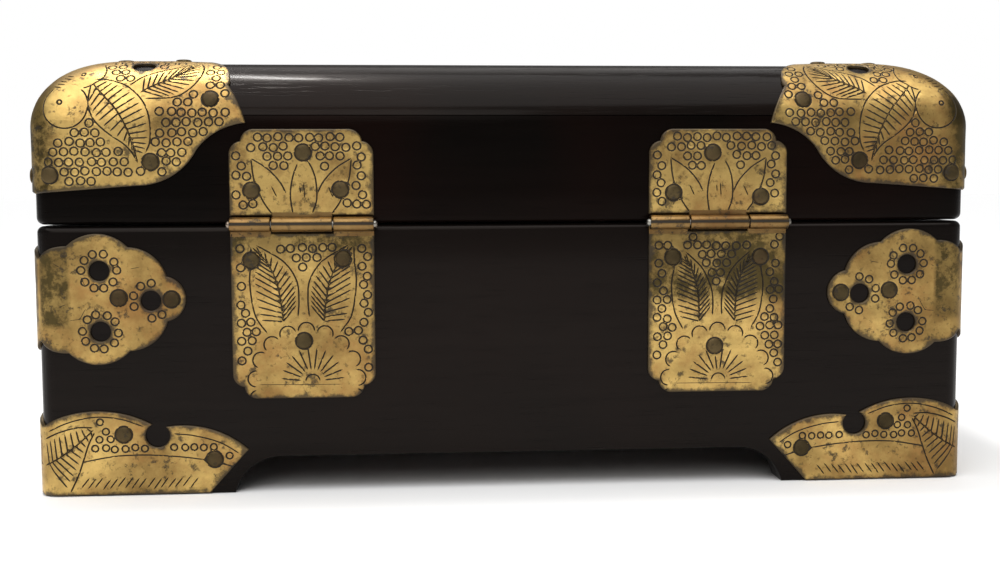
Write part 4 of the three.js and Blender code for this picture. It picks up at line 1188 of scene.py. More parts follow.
def lower_leaf_shell(middle, hand, seed):
    """The case's leaf: half a flower with rays, two feathers over it, and ring punches."""
    border = leaf_outline(HINGE_HALF, PIN_Z - BARREL, PIN_Z - 46.7)
    marks = Engraving()
    centre = np.array(hand["flower"])
    for a in np.radians(np.linspace(6, 174, 12)):
        way = np.array([math.cos(a), math.sin(a)])
        far = 9.4 - 0.8 * math.cos(a) ** 2
        along = centre + way * np.linspace(2.2, far, 40)[:, None]
        clear = np.linalg.norm(along - hand["lower_nails"][2], axis=1) > 2.4
        along = along[:40 if clear.all() else np.argmin(clear)]
        if len(along) > 4:
            marks.cut(line(along[0], along[-1], 8), 0.42, 0.17)
    marks.cut(circle(centre, 1.9, np.radians(np.linspace(0, 180, 16))), 0.4)
    marks.cut(line((-11.5, centre[1] - 0.9), (12.5, centre[1] - 0.7), 20), 0.16, 0.07)
    for a in np.radians(np.linspace(-16, 196, 11)):
        spot = centre + (13.6 * math.cos(a) - centre[0] * 0.7, 14.2 * math.sin(a) - 0.4)
        marks.cut(circle(spot, 2.15, a + np.radians(np.linspace(-98, 98, 14))), 0.42, 0.19)
    figures = [circle(centre * (0.3, 1), (15.6, 15.8), np.radians(np.linspace(0, 360, 24)))]
    for s in (-1, 1):
        rib, outer, inner = ([(s * u, v) for u, v in hand[key]]
                             for key in ("rib", "outer", "inner"))
        figures.append(feather(marks, rib, outer, inner, 14, 14, 0.84, 0.20, (0.0, 0.86)))
    marks.ground(border, figures, hand["lower_nails"], 2.7, 1.75, seed)

    def soil(u, v):
        return 1.2 * fade(v, *hand["dull"]) + 0.5 * np.exp(-(u**2 + (v - 41) ** 2) / 30)
    return sheet_shell(border, [], marks, over_back(middle), seed=seed, face=LEAF_FACE, soil=soil)


def scroll_shell(x0, x1, way):
    """A knuckle: the sheet runs along the wood, turns round the pin and stops short of itself.
    Its midline is a straight run and an arc; the sheet's faces lie half its thickness to each side,
    and draw in a little at the two ends. A crease runs along the outer face, coloured dark."""
    radius, thick = 1.55, 0.43
    turn = np.radians(np.linspace(180, 180 + way * 292, 34))
    mid_y = np.concatenate([np.full(3, -radius), radius * np.cos(turn)])
    mid_z = np.concatenate([way * np.array([3.2, 2.0, 0.8]), radius * np.sin(turn)])
    ny = np.concatenate([np.full(3, -1.0), np.cos(turn)])
    nz = np.concatenate([np.zeros(3), np.sin(turn)])
    x = np.array([x0, x0 + 0.12, x0 + 0.35, (x0 + x1) / 2, x1 - 0.35, x1 - 0.12, x1])
    draw = np.array([0.2, 0.06, 0.0, 0.0, 0.0, 0.06, 0.2])
    around = np.concatenate([np.full(3, -np.pi), turn])
    crease = np.exp(-(((np.cos(around) - 1) * 3.2) ** 2 + ((np.sin(around) - 0.12) * 7) ** 2))
    sheets = []
    for side in (1, -1):
        t = side * (thick - draw)[None, :] - max(side, 0) * 0.14 * crease[:, None]
        y = PIN_Y + mid_y[:, None] + ny[:, None] * t
        z = PIN_Z + mid_z[:, None] + nz[:, None] * t
        sheets.append(np.stack([np.broadcast_to(x, y.shape), y, z], -1))
    mark = np.repeat(0.5 * crease, len(x))
    return *slab(*sheets), np.concatenate([mark, 0 * mark])


def pin_shell(half, radius, x, y, z):
    """A round pin along X with domed ends."""
    dome = radius * np.array([0, 0.5, 0.85, 1])
    rise = half - np.array([0, 0.05, 0.25, 0.6])
    rod = revolve(np.concatenate([dome, dome[::-1]]), np.concatenate([-rise, rise[::-1]]), 20)
    return copies(rod, np.array([[x, y, z]]), np.array([[1.0, 0, 0]]), np.zeros(1))


NAIL = revolve(np.array([0, 1.85, 2.05, 2.1, 2.0, 1.75, 1.3, 0.7, 0]),
               np.array([-0.5, -0.5, -0.2, 0.0, 0.17, 0.30, 0.40, 0.46, 0.48]), 18)


def nails_on(surface, spots, face=SHEET, seed=3):
    """Domed nail heads standing on a surface, each slightly sunk and tilted its own way."""
    spots = np.asarray(spots, float)
    rng = np.random.default_rng(seed)
    low = surface(spots[:, 0], spots[:, 1], np.full(len(spots), face))
    high = surface(spots[:, 0], spots[:, 1], np.full(len(spots), face + 1.0))
    normal = high - low + rng.uniform(-0.05, 0.05, low.shape)
    return low, normal, rng.uniform(0, 6.28, len(spots))


MIRRORS = {"back_right": (1, 1, 1), "back_left": (-1, 1, 1), "front_right": (1, -1, 1),
           "front_left": (-1, -1, 1)}


def make_corner_mounts():
    """Lid mounts, middle straps and foot mounts: one of each, mirrored to the four corners. Gives
    the places of their nails, for each body."""
    nails = {"lid": [], "case": []}
    for prefix, shell_of, spots, surface, body in (
            ("lid_mount", lid_mount_shell, LID_NAILS, over_lid, "lid"),
            ("corner_strap", strap_shell, STRAP_NAILS, case_corner, "case"),
            ("foot_mount", foot_shell, FOOT_NAILS, case_corner, "case")):
        verts, faces, marks = both_halves(shell_of(7))
        low, normal, spin = nails_on(surface, spots)
        swap = HALF_W - HALF_D
        low = np.concatenate([low, np.stack([low[:, 1] + swap, low[:, 0] - swap, low[:, 2]], -1)])
        normal = np.concatenate([normal, normal[:, [1, 0, 2]]])
        spin = np.concatenate([spin, spin + 1])
        for corner, flip in MIRRORS.items():
            piece(f"{prefix}_engraved_{corner}", verts * flip, faces, BRASS, body, "brass",
                  marks, ENGRAVED_CREASE, f"{prefix}_{corner}")
            nails[body].append((low * flip, normal * flip, spin))
    return nails


def make_hinges(nails):
    """Two hinges: engraved leaves, their rolled knuckles and the pins. Adds to the nails."""
    for side, s in (("right", 1), ("left", -1)):
        middle = s * HINGE_X
        hand = HAND_CUT[side]
        for name, leaf_of, body, seed in (("upper", upper_leaf_shell, "lid", 11),
                                          ("lower", lower_leaf_shell, "case", 21)):
            verts, faces, marks, _ = leaf_of(middle, hand, seed if s > 0 else seed + 1)
            piece(f"hinge_{name}_engraved_{side}", verts, faces, HINGE_BRASS, body, "brass",
                  marks, ENGRAVED_CREASE, f"hinge_{name}_leaf_{side}")
            scrolls = [scroll_shell(middle + a, middle + b, way) for a, b, way in KNUCKLES[name]]
            crease = np.concatenate([scroll[2] for scroll in scrolls])
            piece(f"hinge_{name}_knuckles_{side}", *join([scroll[:2] for scroll in scrolls]),
                  KNUCKLE_BRASS, body, "brass", {"cut": crease}, 40)
        piece(f"hinge_pin_domed_{side}", *pin_shell(20, 1.0, middle, PIN_Y, PIN_Z), PIN_STEEL,
              "case", "steel", sharp=50, stands_for=f"hinge_pin_{side}")
        for key, body in (("upper_nails", "lid"), ("lower_nails", "case")):
            nails[body].append(nails_on(over_back(middle), hand[key], LEAF_FACE, 5 + s))


def make_nails(nails):
    """All the nails of one body as one piece."""
    for body, sets in nails.items():
        low, normal, spin = (np.concatenate(parts) for parts in zip(*sets))
        verts, faces = copies(NAIL, low, normal, spin)
        piece(f"{body}_nails", verts, faces, NAIL_BRASS, body, "brass",
              {"cut": np.zeros(len(verts))}, 45)


# ------------------------------------------------------------------ wood


def board_shell(half_along, half_across, profile, stations, floor_at=None, raised=None, gap=0.07):
    """A mitred board: a closed profile of (depth, z, corner radius) carried along one side.

    The far end at each side is the plan's diagonal, less the mitre's gap. From the middle outwards
    a point keeps its absolute place along the board for the given stations; then the way to the
    corner's arc is shared out, and the arc follows a quarter turn's first half about the depth's
    own radius. floor_at gives the underside's height at a distance from the middle, to which each
    z is scaled, and raised adds a height to each point."""
    depth, z, radius = (np.asarray(a, float)[None, :] for a in zip(*profile))
    share = np.array([0.3, 0.65, 1.0])[:, None]
    middle = np.asarray(stations)[:, None] + 0 * depth
    reach = half_along - depth - radius
    stretch = middle[-1] + (reach - middle[-1]) * share
    angle = np.pi / 2 - np.linspace(0, 1, 7)[1:, None] * np.pi / 4
    bend = reach + radius * np.cos(angle)
    bend[-1] -= gap
    along = np.concatenate([middle, stretch, bend])
    inset = np.concatenate([depth + 0 * middle, depth + 0 * stretch,
                            depth + radius * (1 - np.sin(angle))])
    along = np.concatenate([-along[::-1], along[1:]])
    across = half_across - np.concatenate([inset[::-1], inset[1:]])
    height = z + 0 * along
    if floor_at is not None:
        floor, top = floor_at(np.abs(along)), z.max()
        height = floor + z * (top - floor) / top
    if raised is not None:
        height = height + raised(along, across, depth)
    rows, columns = along.shape
    index = np.arange(rows * columns).reshape(rows, columns)
    quads = grid_faces(rows, columns, wrap_columns=True)
    verts = np.stack([along, across, height], -1).reshape(-1, 3)
    return verts, [quads, index[0][None, ::-1], index[-1][None]]


def fillet(d, z, radius, start, end, steps):
    """Points of a rounded edge about (d, z), with the corner radius that goes with each depth."""
    edge = circle((d, z), radius, np.radians(np.linspace(start, end, steps + 1)))
    return [(depth, height, max(CORNER - depth, SHARPEST)) for depth, height in edge]


def straight(a, b, steps):
    """The points between a and b, both left out."""
    t = np.linspace(0, 1, steps + 1)[1:-1, None]
    return [tuple(p) for p in np.asarray(a) * (1 - t) + np.asarray(b) * t]


def foot_floor(half):
    """The board's underside: the table at the feet, a concave cove, and the apron between."""
    cove = arc((0, 0), (COVE, APRON), COVE_BULGE, 14)
    cove = np.concatenate([[(0, 0)], cove])
    foot = half - FOOT
    def floor_at(distance):
        return np.interp(foot - distance, cove[:, 0], cove[:, 1])
    stations = np.concatenate([np.linspace(0, foot - COVE, 7)[:-1], foot - cove[::-1, 0],
                               [foot + 8, foot + 20]])
    return floor_at, stations


SIDES = (("back", HALF_W, HALF_D, False), ("right", HALF_D, HALF_W, True))
OTHER_SIDE = {"back": "front", "right": "left"}


def place_boards(side, shell, swap, noun, body):
    """A board and its mirror image across the case; swap turns it to run along Y."""
    verts, faces = shell
    if swap:
        verts = verts[:, [1, 0, 2]]
    flip = (-1, 1, 1) if swap else (1, -1, 1)
    for name, v in ((side, verts), (OTHER_SIDE[side], verts * flip)):
        node_name = f"{name}_{noun}" if noun == "board" else f"{noun}_{name}"
        piece(node_name + "_smooth", v, faces, WOODS[noun][int(swap)], body, "dark_wood",
              sharp=40, stands_for=node_name)


def make_case_boards():
    """The case's four boards: rounded at the seam, eased inside, with the arch cut below."""
    e = INNER_EDGE
    profile = (fillet(e, e, e, 270, 180, 3)
               + straight((0, e, CORNER), (0, BODY_TOP - RIM, CORNER), 6)
               + fillet(RIM, BODY_TOP - RIM, RIM, 180, 90, 6)
               + fillet(WALL - e, BODY_TOP - e, e, 90, 0, 3)
               + fillet(WALL - 0.3, 0.3, 0.3, 0, -90, 2))
    for side, half_along, half_across, swap in SIDES:
        floor_at, stations = foot_floor(half_along)
        shell = board_shell(half_along, half_across, profile, stations, floor_at)
        place_boards(side, shell, swap, "board", "case")


def shoulder_points(z_low, z_high, steps):
    """The shoulder's quarter circle between two heights, as (depth, z, corner radius)."""
    a, b = (math.asin(min((z - SHOULDER_START) / SHOULDER, 1)) for z in (z_low, z_high))
    points = []
    for phi in np.linspace(a, b, steps + 1):
        inset = SHOULDER * (1 - math.cos(phi))
        height = SHOULDER_START + SHOULDER * math.sin(phi)
        points.append((inset, height, CORNER + SOFTENING * inset))
    return points


def make_lid_boards():
    """The lid's four rails, and over them the mitred top frame with its shoulder and crown."""
    rail = (fillet(RIM, LID_RIM + RIM, RIM, 270, 180, 6)
            + straight((0, LID_RIM + RIM, CORNER), (0, SHOULDER_START, CORNER), 4)
            + shoulder_points(SHOULDER_START, RAIL_TOP, 4)
            + [(WALL, RAIL_TOP, SHARPEST)]
            + fillet(WALL - 0.4, LID_RIM + 0.4, 0.4, 0, -90, 3))
    level = CORNER + SOFTENING * SHOULDER
    top = (shoulder_points(FRAME_UNDER, LID_TOP, 22)
           + [(d, LID_TOP, max(level - (d - SHOULDER), SHARPEST))
              for d in (19.5, 22, 25, 28, 31, 33.6, FRAME_WIDTH - 0.15)]
           + [(FRAME_WIDTH - 0.05, LID_TOP - 0.2, SHARPEST), (FRAME_WIDTH, FRAME_UNDER, SHARPEST)])

    def raised(along, across, depth):       # the crown is the same function of x and y either way
        x, y = (across, along) if swap else (along, across)
        on_top = (depth > SHOULDER - 0.01) & (depth < FRAME_WIDTH - 0.03)
        return np.where(on_top, crown(x, y), 0)
    for side, half_along, half_across, swap in SIDES:
        stations = np.linspace(0, half_along - 45, 12)
        shell = board_shell(half_along, half_across, rail, stations)
        place_boards(side, shell, swap, "lid_rail", "lid")
        shell = board_shell(half_along, half_across, top, stations, raised=raised)
        place_boards(side, shell, swap, "top_frame", "lid")


def make_top_panel():
    """The panel in the top frame: a grid under the crown, its edge eased, over a flat underside."""
    def eased(half):
        inner = np.linspace(-half + 0.6, half - 0.6, 25)
        return np.concatenate([[-half, -half + 0.2], inner, [half - 0.2, half]])
    x, y = np.meshgrid(eased(PANEL_W), eased(PANEL_D), indexing="ij")
    edge = np.minimum(PANEL_W - np.abs(x), PANEL_D - np.abs(y))
    top = LID_TOP + crown(x, y) - 0.3 * (1 - np.clip(edge / 0.6, 0, 1)) ** 2
    verts, faces = slab(np.stack([x, y, top], -1), np.stack([x, y, 0 * x + PANEL_UNDER], -1))
    piece("top_panel_smooth", verts, faces, TOP_WOOD[0], "lid", "dark_wood", sharp=50,
          stands_for="top_panel")


# ------------------------------------------------------------------ lock on the front

LOCK_FACE = -(HALF_D + 1.0)
LOCK_NAILS = [(-21.5, SEAM + 4.6), (21.5, SEAM + 4.6), (-21.5, SEAM - 4.8), (21.5, SEAM - 4.8),
              (0.0, SEAM - 28.5)]
LOCK_TOP = SHOULDER_START - 1
HASP_PIN_Z = LOCK_TOP - 7
HASP_Y = LOCK_FACE - 1.7                  # the hasp pin's middle
HASP_BACK = HASP_Y + 1.1                  # the hasp's inner face
HASP_TIP = SEAM - 22
EYE_Z, EYE_Y = SEAM - 12.5, LOCK_FACE - 5.6
BORE = 0.88                               # radius of the hole for the hasp's pin


def over_front(back_y):
    """A plane parallel to the front face; h is counted towards the front from back_y."""
    def surface(u, v, h):
        return np.stack([u, back_y - h, v + 0 * u], -1)
    return surface


def ring_bar(x0, x1, outer, inner, y, z, ease=0.25, sides=40):
    """A tube along X: a rectangle of radii and lengths with eased corners, turned about X."""
    e = ease
    r = np.array([inner + e, outer - e, outer - 0.3 * e, outer, outer, outer - 0.3 * e, outer - e,
                  inner + e, inner + 0.3 * e, inner, inner, inner + 0.3 * e])
    x = np.array([x0, x0, x0 + 0.3 * e, x0 + e, x1 - e, x1 - 0.3 * e, x1, x1, x1 - 0.3 * e, x1 - e,
                  x0 + e, x0 + 0.3 * e])
    turn = full_turn(sides)
    ring = np.stack([x[:, None] + 0 * turn, y + r[:, None] * np.cos(turn),
                     z + r[:, None] * np.sin(turn)], -1)
    return ring.reshape(-1, 3), [grid_faces(len(r), sides, wrap_rows=True, wrap_columns=True)]


def eased_block(low, high, axis=0, ease=0.4, steps=4):
    """A bar with rounded edges: a rounded rectangle carried along the given axis, drawn in at its
    two ends along the same rounding."""
    low, high = np.asarray(low, float), np.asarray(high, float)
    others = [k for k in range(3) if k != axis]
    middle, half = (low + high) / 2, (high - low) / 2
    ease = min(ease, 0.45 * half[others].min() * 2)
    turn = np.radians(np.linspace(0, 90, steps + 1))
    advance, inset = ease * (1 - np.sin(turn)), ease * (1 - np.cos(turn))
    inset = np.concatenate([inset[::-1], inset])
    along = np.concatenate([low[axis] + advance[::-1], high[axis] - advance])
    quarter = np.stack([np.cos(turn), np.sin(turn)], -1)
    loops = []
    for k, (sa, sb) in enumerate(((1, 1), (-1, 1), (-1, -1), (1, -1))):
        q = quarter if k % 2 == 0 else quarter[::-1]
        corner = np.array([sa, sb]) * (half[others] - ease)
        loops.append(np.concatenate([np.broadcast_to(corner, q.shape), q * (sa, sb)], -1))
    loop = np.concatenate(loops)
    radius = (ease - inset)[:, None, None]
    section = loop[None, :, :2] + radius * loop[None, :, 2:]
    verts = np.zeros((len(along), len(loop), 3))
    verts[..., others] = section + middle[others]
    verts[..., axis] = along[:, None]
    index = np.arange(len(along) * len(loop)).reshape(len(along), -1)
    sides = grid_faces(len(along), len(loop), wrap_columns=True)
    return verts.reshape(-1, 3), [sides, index[0][None, ::-1], index[-1][None]]


def lock_outline(near, far, way):
    """Half a lock plate: a cloud of lobes over the seam."""
    half = 28.0
    rise = far - near
    return outline((-half + 2, near), ((-half + 4.5, near + rise * 0.46), way * 2.4),
                   ((-half + 14, near + rise * 0.84), way * 2.6),
                   ((half - 14, near + rise * 0.84), way * abs(rise) * 0.16),
                   ((half - 4.5, near + rise * 0.46), way * 2.6), ((half - 2, near), way * 2.4),
                   ((-half + 2.9, near),))[::-1 if way > 0 else 1]


def lock_plate_shell(near, far, way, seed):
    """An engraved plate: a spray of five leaves from the seam, and ring punches."""
    border = lock_outline(near, far, way)
    marks = Engraving()
    foot = near + way * 3.0
    leaves = []
    for turn, length, width in ((90, 15, 2.7), (48, 14.5, 2.5), (132, 14.5, 2.5), (16, 15, 2.2),
                                (164, 15, 2.2)):
        a = math.radians(turn)
        base = np.array([3.4 * math.cos(a), foot + way * 2.0 * math.sin(a)])
        tip = np.array([(length + 4) * math.cos(a), foot + way * length * math.sin(a)])
        lean = (base + tip) / 2 + (0, way * 1.2)
        leaves.append(marks.leaf(base, lean, tip, width, 7))
    marks.ground(border, leaves, LOCK_NAILS, 2.62, 1.8, seed)
    return sheet_shell(border, [], marks, over_front(-HALF_D), seed=seed, face=LEAF_FACE)


def hasp_shell():
    """The hasp's plate: a narrow neck that swells into a cloud, with a leaf along the neck and ring
    punches round its eye."""
    top = HASP_PIN_Z - 2.2
    right = [((6.5, HASP_TIP + 3.2), -1.2), ((11, HASP_TIP + 9), -1.5),
             ((7, HASP_TIP + 17.5), -1.6), ((7, top), 1.2)]
    border = outline((-7, top), ((-7, HASP_TIP + 17.5), 1.2), ((-11, HASP_TIP + 9), -1.6),
                     ((-6.5, HASP_TIP + 3.2), -1.5), ((0, HASP_TIP), -1.2), *right,
                     ((-6.2, top),))
    marks = Engraving()
    marks.leaf((0, HASP_TIP + 19), (0.8, HASP_TIP + 26), (0, top - 3), 2.9, 9)
    neck = np.array([(-2.9, HASP_TIP + 18), (2.9, HASP_TIP + 18), (2.9, top - 3), (-2.9, top - 3)])
    marks.ground(border, [neck, round_hole(0, EYE_Z, 2.9)], [], 2.5, 1.6, 5, 0.95)
    return sheet_shell(border, [], marks, over_front(HASP_BACK), None, 1.2, seed=5, face=1.1,
                       back=0.0)


def make_lock():
    """Two plates, the hasp on its pin, and three eyes in a row for a padlock's bar."""
    for name, near, far, way, body in (("upper", LID_RIM + 0.2, LOCK_TOP, 1, "lid"),
                                       ("lower", BODY_TOP - 0.2, SEAM - 33, -1, "case")):
        verts, faces, marks, _ = lock_plate_shell(near, far, way, 31 + way)
        piece(f"lock_plate_engraved_{name}", verts, faces, HINGE_BRASS, body, "brass", marks,
              ENGRAVED_CREASE, f"lock_plate_{name}")
        spots = [n for n in LOCK_NAILS if (n[1] - SEAM) * way > 0]
        nails = copies(NAIL, *nails_on(over_front(-HALF_D), spots, LEAF_FACE, 40))
        piece(f"lock_nails_{name}", *nails, NAIL_BRASS, body, "brass", sharp=45)
    brackets = join([ring_bar(s - 1.5, s + 1.5, 1.9, BORE, HASP_Y, HASP_PIN_Z)
                     for s in (-6.8, 6.8)])
    piece("hasp_brackets", *brackets, KNUCKLE_BRASS, "lid", "brass")
    verts, faces, marks, _ = hasp_shell()
    piece("hasp_engraved", verts, faces, HINGE_BRASS, "hasp", "brass", marks, ENGRAVED_CREASE,
          "hasp")
    knuckle = join([
        ring_bar(-5, 5, 1.5, BORE, HASP_Y, HASP_PIN_Z),
        eased_block((-5, HASP_BACK - 1.0, HASP_PIN_Z - 3.4),
                    (5, HASP_BACK - 0.1, HASP_PIN_Z - 1.0), 0, 0.2)])
    piece("hasp_knuckle", *knuckle, KNUCKLE_BRASS, "hasp", "brass")
    for name, x, face_y, body in (("middle", 0.0, HASP_BACK - 1.0, "hasp"),
                                  ("right", 14.5, LOCK_FACE, "case"),
                                  ("left", -14.5, LOCK_FACE, "case")):
        eye = join([
            ring_bar(x - 1.2, x + 1.2, 4.7, 3.1, EYE_Y, EYE_Z, 0.5),
            eased_block((x - 1.15, EYE_Y + 3.5, EYE_Z - 2.2),
                        (x + 1.15, face_y + 0.1, EYE_Z + 2.2), 1, 0.3)])
        piece(f"padlock_eye_{name}", *eye, KNUCKLE_BRASS, body, "brass",
              stands_for=f"lock_eye_{name}" if body == "case" else None)
    piece("hasp_pin_domed", *pin_shell(8.9, 0.8, 0, HASP_Y, HASP_PIN_Z), PIN_STEEL, "lid",
          "steel", sharp=50, stands_for="hasp_pin")


# ------------------------------------------------------------------ tray and linings


def weave_tree(source):
    """Plain weave: the height of crossing threads, Count to the metre, on three sides at once."""
    place = vector_maths("SCALE", source["Place"], Scale=source["Count"])
    height = summed([maths("SINE", part) for part in axes_of(place)])
    return (maths("MULTIPLY_ADD", height, 0.17, 0.5),)


WEAVE = shared("plain_weave", [("Place", "vector"), ("Count", "value")], [("Height", "value")],
               weave_tree)
REPEAT, THREAD = 0.0140, 0.0006           # the brocade's figure and its threads, in metres


def brocade_finish():
    """Dark red silk with a woven pattern of paler medallions that repeats on every side. The
    figure is a band of the sum of slow cosine waves and waves four times as fast."""
    def build(tree):
        place = object_place(tree)
        parts = axes_of(vector_maths("SCALE", place, Scale=2 * math.pi / REPEAT))
        slow = summed([maths("COSINE", part) for part in parts])
        fast = summed([maths("COSINE", maths("MULTIPLY", part, 4.0)) for part in parts])
        wave = maths("FRACT", maths("MULTIPLY", maths("MULTIPLY_ADD", fast, 0.16, slow), 0.8))
        band = maths("ABSOLUTE", maths("SUBTRACT", wave, 0.5))
        mask = ramp(band, (0.29, 0.0), (0.35, 1.0))
        threads = use(WEAVE, Place=place, Count=2 * math.pi / THREAD)["Height"]
        ground = mix(noise(place, 60.0, 3.0), (0.150, 0.010, 0.014), (0.24, 0.018, 0.022))
        colour = mix(mask, ground, (0.40, 0.185, 0.055))
        colour = mix(maths("MULTIPLY", threads, 0.35), colour, (0.05, 0.006, 0.008))
        height = maths("MULTIPLY_ADD", mask, 0.8, threads)
        return {"Base_Color": colour, "Roughness": maths("MULTIPLY_ADD", mask, -0.22, 0.66),
                "Normal": bump(height, 0.5, 0.0002)}
    return finish_of("brocade", build, Sheen_Weight=0.2, Sheen_Roughness=0.4,
                     Sheen_Tint=(1.0, 0.45, 0.35, 1), Specular_IOR_Level=0.35)


def velvet_finish():
    """Short-pile velvet: a deep colour in slow clouds of brushed pile, with a soft sheen."""
    def build(tree):
        place = object_place(tree)
        brushed, pile = noise(place, 75.0, 4.0, 0.6), noise(place, 2600.0, 2.0)
        colour = mix(ramp(brushed, (0.35, 0.0), (0.65, 1.0)), (0.052, 0.003, 0.007),
                     (0.125, 0.009, 0.018))
        colour = mix(maths("MULTIPLY", pile, 0.5), colour, (0.02, 0.001, 0.003))
        height = maths("MULTIPLY_ADD", brushed, 0.6, pile)
        return {"Base_Color": colour, "Roughness": maths("MULTIPLY_ADD", brushed, 0.15, 0.78),
                "Normal": bump(height, 0.45, 0.0004)}
    return finish_of("velvet", build, Sheen_Weight=0.4, Sheen_Roughness=0.4,
                     Sheen_Tint=(0.75, 0.12, 0.17, 1), Specular_IOR_Level=0.12)


BROCADE, VELVET = brocade_finish(), velvet_finish()


def local_box(node_name):
    """A node's lowest and highest corner, from the case's middle."""
    low, high = corners(node_name)
    return low - (0, SHIFT_Y, 0), high - (0, SHIFT_Y, 0)


PAD_PRESS = 0.92            # share of its room that a pad takes before it is blown up
PAD_ROOM = 0.25             # how far a blown-up pad may stand past its solid
PAD_STEPS = 12
PADDING = {"quality": 4, "mass": 0.15, "tension_stiffness": 12, "compression_stiffness": 12,
           "bending_stiffness": 0.4, "use_pressure": True, "uniform_pressure_force": 3.5}


def cushion(name, node_name, material, body, up=2, way=1, spacing=3.4, round_edge=1.0, top=None,
            swell=0.7):
    """A thin pad: a fine grid for its face and another for its back, joined round the edge.

    The face falls to the edge along a quarter circle of round_edge and may follow top(p, q), its
    height over the back as a share of the thickness. up is the axis that the face looks along, and
    way the direction. A cloth simulation then blows it up a little: each point moves at most swell
    millimetres, the back is pressed flat again, and nothing leaves the pad's own box sideways."""
    low, high = local_box(node_name)
    a, b = [k for k in range(3) if k != up]
    size = high - low

    def eased(length):
        count = max(4, int((length - 2 * round_edge) / spacing))
        edge = round_edge * (1 - np.cos(np.radians([0, 25, 50, 70])))
        inner = np.linspace(round_edge, length - round_edge, count)
        return np.concatenate([edge, inner, length - edge[::-1]])
    p, q = np.meshgrid(eased(size[a]), eased(size[b]), indexing="ij")
    gap = np.minimum(np.minimum(p, size[a] - p), np.minimum(q, size[b] - q))
    fall = 1 - np.clip(gap / round_edge, 0, 1)
    thick = size[up] * (np.ones_like(p) if top is None else top(p, q, size[a], size[b]))
    rise = thick - np.minimum(round_edge, 0.85 * thick) * (1 - np.sqrt(np.clip(1 - fall**2, 0, 1)))

    def sheet(height):
        points = np.zeros(p.shape + (3,))
        points[..., a], points[..., b] = low[a] + p, low[b] + q
        points[..., up] = low[up] + height if way > 0 else high[up] - height
        return points
    verts, faces = slab(sheet(rise * PAD_PRESS + 0.02), sheet(np.zeros_like(p)))
    slot = "brocade" if material is BROCADE else "velvet"
    made = piece(name, verts, faces, material, body, slot, sharp=180, stands_for=node_name)
    blow_up(made, low, high, up, way, swell, p.size)


def blow_up(made, low, high, up, way, swell, front):
    """Steps a closed cloth under inner pressure, then keeps a capped share of how far it moved.
    The face's vertices are the first ones, as many as front says."""
    scene = bpy.context.scene
    count = len(made.data.vertices)
    before, after = np.zeros(count * 3, np.float32), np.zeros(count * 3, np.float32)
    made.data.vertices.foreach_get("co", before)
    before = before.reshape(-1, 3)
    cloth = made.modifiers.new("padding", "CLOTH")
    for key, value in PADDING.items():
        setattr(cloth.settings, key, value)
    cloth.settings.effector_weights.gravity = 0.0
    scene.frame_start, scene.frame_end = 1, PAD_STEPS
    for step in range(1, PAD_STEPS + 1):
        scene.frame_set(step)
    shaped = made.evaluated_get(bpy.context.evaluated_depsgraph_get())
    shaped.data.vertices.foreach_get("co", after)
    made.modifiers.remove(cloth)
    scene.frame_set(1)
    move = (after.reshape(-1, 3) - before) / MM
    length = np.linalg.norm(move, axis=1, keepdims=True)
    move *= np.minimum(1, swell / np.maximum(length, 1e-6))
    shift = np.array([0, SHIFT_Y, 0])
    least, most = low + shift, high + shift
    (most if way > 0 else least)[up] += way * PAD_ROOM
    held = np.clip(before / MM + move, least, most)
    held[front:, up] = before[front:, up] / MM
    made.data.vertices.foreach_set("co", (held * MM).astype(np.float32).ravel())
    made.data.update()


def make_linings():
    """Padded brocade boards on the case's four sides and floor, and under the lid."""
    for side, up, way in (("back", 1, -1), ("front", 1, 1), ("right", 0, -1), ("left", 0, 1)):
        cushion(f"lining_padded_{side}", f"lining_{side}", BROCADE, "case", up, way, 4.0, 1.1,
                swell=0.5)
    cushion("floor_padded", "floor_pad", BROCADE, "case", 2, 1, 4.5, 1.4, quilted)
    cushion("lid_padded", "lid_pad", BROCADE, "lid", 2, -1, 4.0, 1.6, quilted)


def quilted(p, q, width, depth):
    """Sewn lines in diamonds, about 38 mm across: the share falls to 0.62 where either of two
    diagonal waves passes through zero."""
    nx, ny = max(1, round(width / 38)), max(1, round(depth / 38))
    s, t = p / width * nx, q / depth * ny
    lines = np.minimum(np.abs(np.sin(np.pi * (s + t))), np.abs(np.sin(np.pi * (s - t))))
    return 0.62 + 0.38 * np.clip(lines * 2.2, 0, 1) ** 0.6


def rolls(p, q, width, depth):
    """The ring cushion: parallel rolls along X, about 16 mm each, a flattened half round, rounded
    at its ends."""
    count = int(depth / 16)
    across = (q / depth * count) % 1.0
    round_part = np.sqrt(np.clip(1 - (2 * across - 1) ** 2, 0, 1))
    end = np.clip(np.minimum(p, width - p) / 5.0, 0, 1)
    fall = 1 - 0.35 * (1 - np.sqrt(1 - (1 - end) ** 2))
    return (0.26 + 0.74 * round_part) * fall


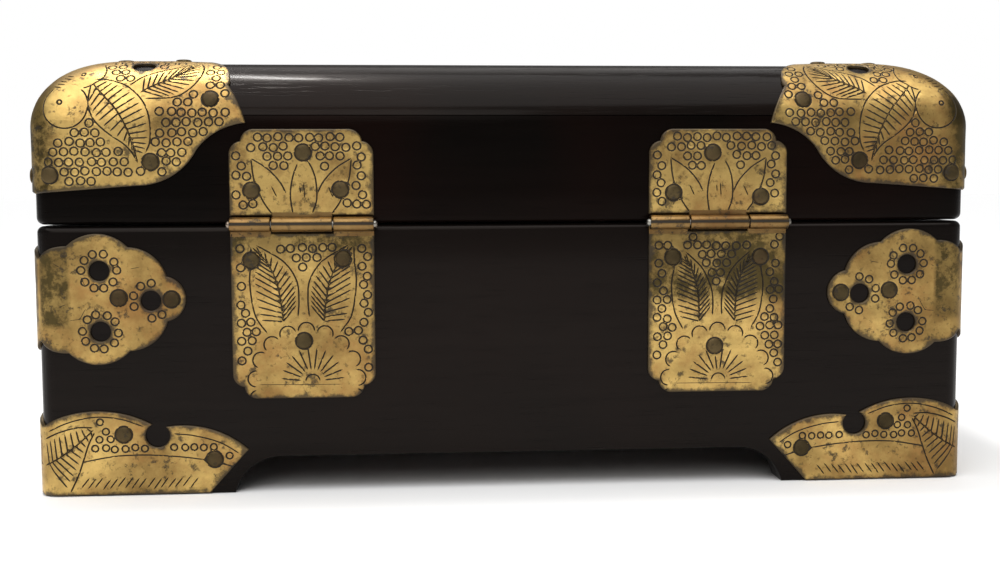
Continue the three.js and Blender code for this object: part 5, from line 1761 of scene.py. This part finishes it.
KNOB_RADIUS = np.array([0, 1.5, 1.55, 1.35, 1.25, 1.3, 1.7, 2.5, 3.0, 3.2, 3.1, 2.7, 2.0, 1.1, 0])
KNOB_HEIGHT = np.array([0, 0, 0.5, 0.9, 1.7, 2.4, 3.0, 3.5, 4.1, 4.7, 5.3, 5.85, 6.2, 6.43, 6.5])
TRAY_BARS = {       # the axis that each bar runs along, and the radius of its edges
    "tray_back": (0, 1.0), "tray_front": (0, 1.0), "tray_right": (1, 1.0), "tray_left": (1, 1.0),
    "tray_divider_right": (1, 0.9), "tray_divider_left": (1, 0.9), "tray_divider_cross": (0, 0.9)}


def make_tray():
    """The lift-out tray: thin boards, dividers, two knobs, velvet pads and the ring cushion."""
    for name, (axis, ease) in TRAY_BARS.items():
        piece(name + "_eased", *eased_block(*local_box(name), axis, ease), TRAY_WOOD[axis],
              "tray", "tray_wood", sharp=60, stands_for=name)
    piece("tray_base_eased", *eased_block(*local_box("tray_base"), 0, 0.2), TRAY_WOOD[0],
          "tray", "tray_wood", stands_for="tray_base")
    for side in ("right", "left"):
        low, high = local_box(f"tray_knob_{side}")
        verts, faces = revolve(KNOB_RADIUS, KNOB_HEIGHT, 32)
        middle = (low + high) / 2
        piece(f"tray_knob_turned_{side}", verts + (middle[0], middle[1], low[2]), faces,
              KNUCKLE_BRASS, "tray", "brass", stands_for=f"tray_knob_{side}")
    for side in ("middle", "back", "front"):
        cushion(f"tray_velvet_{side}", f"tray_pad_{side}", VELVET, "tray", 2, 1, 3.4, 0.8,
                swell=0.4)
    cushion("ring_rolls", "ring_cushion", VELVET, "tray", 2, 1, 1.6, 1.2, rolls, 0.5)


def dress_cad_nodes():
    """The bottom board is the one node that keeps its own mesh, in the tray's wood."""
    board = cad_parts["bottom_board"]
    board.data.materials.clear()
    board.data.materials.append(TRAY_WOOD[0])


nails = make_corner_mounts()
make_hinges(nails)
make_nails(nails)
make_case_boards()
make_lid_boards()
make_top_panel()
make_lock()
make_tray()
make_linings()
dress_cad_nodes()
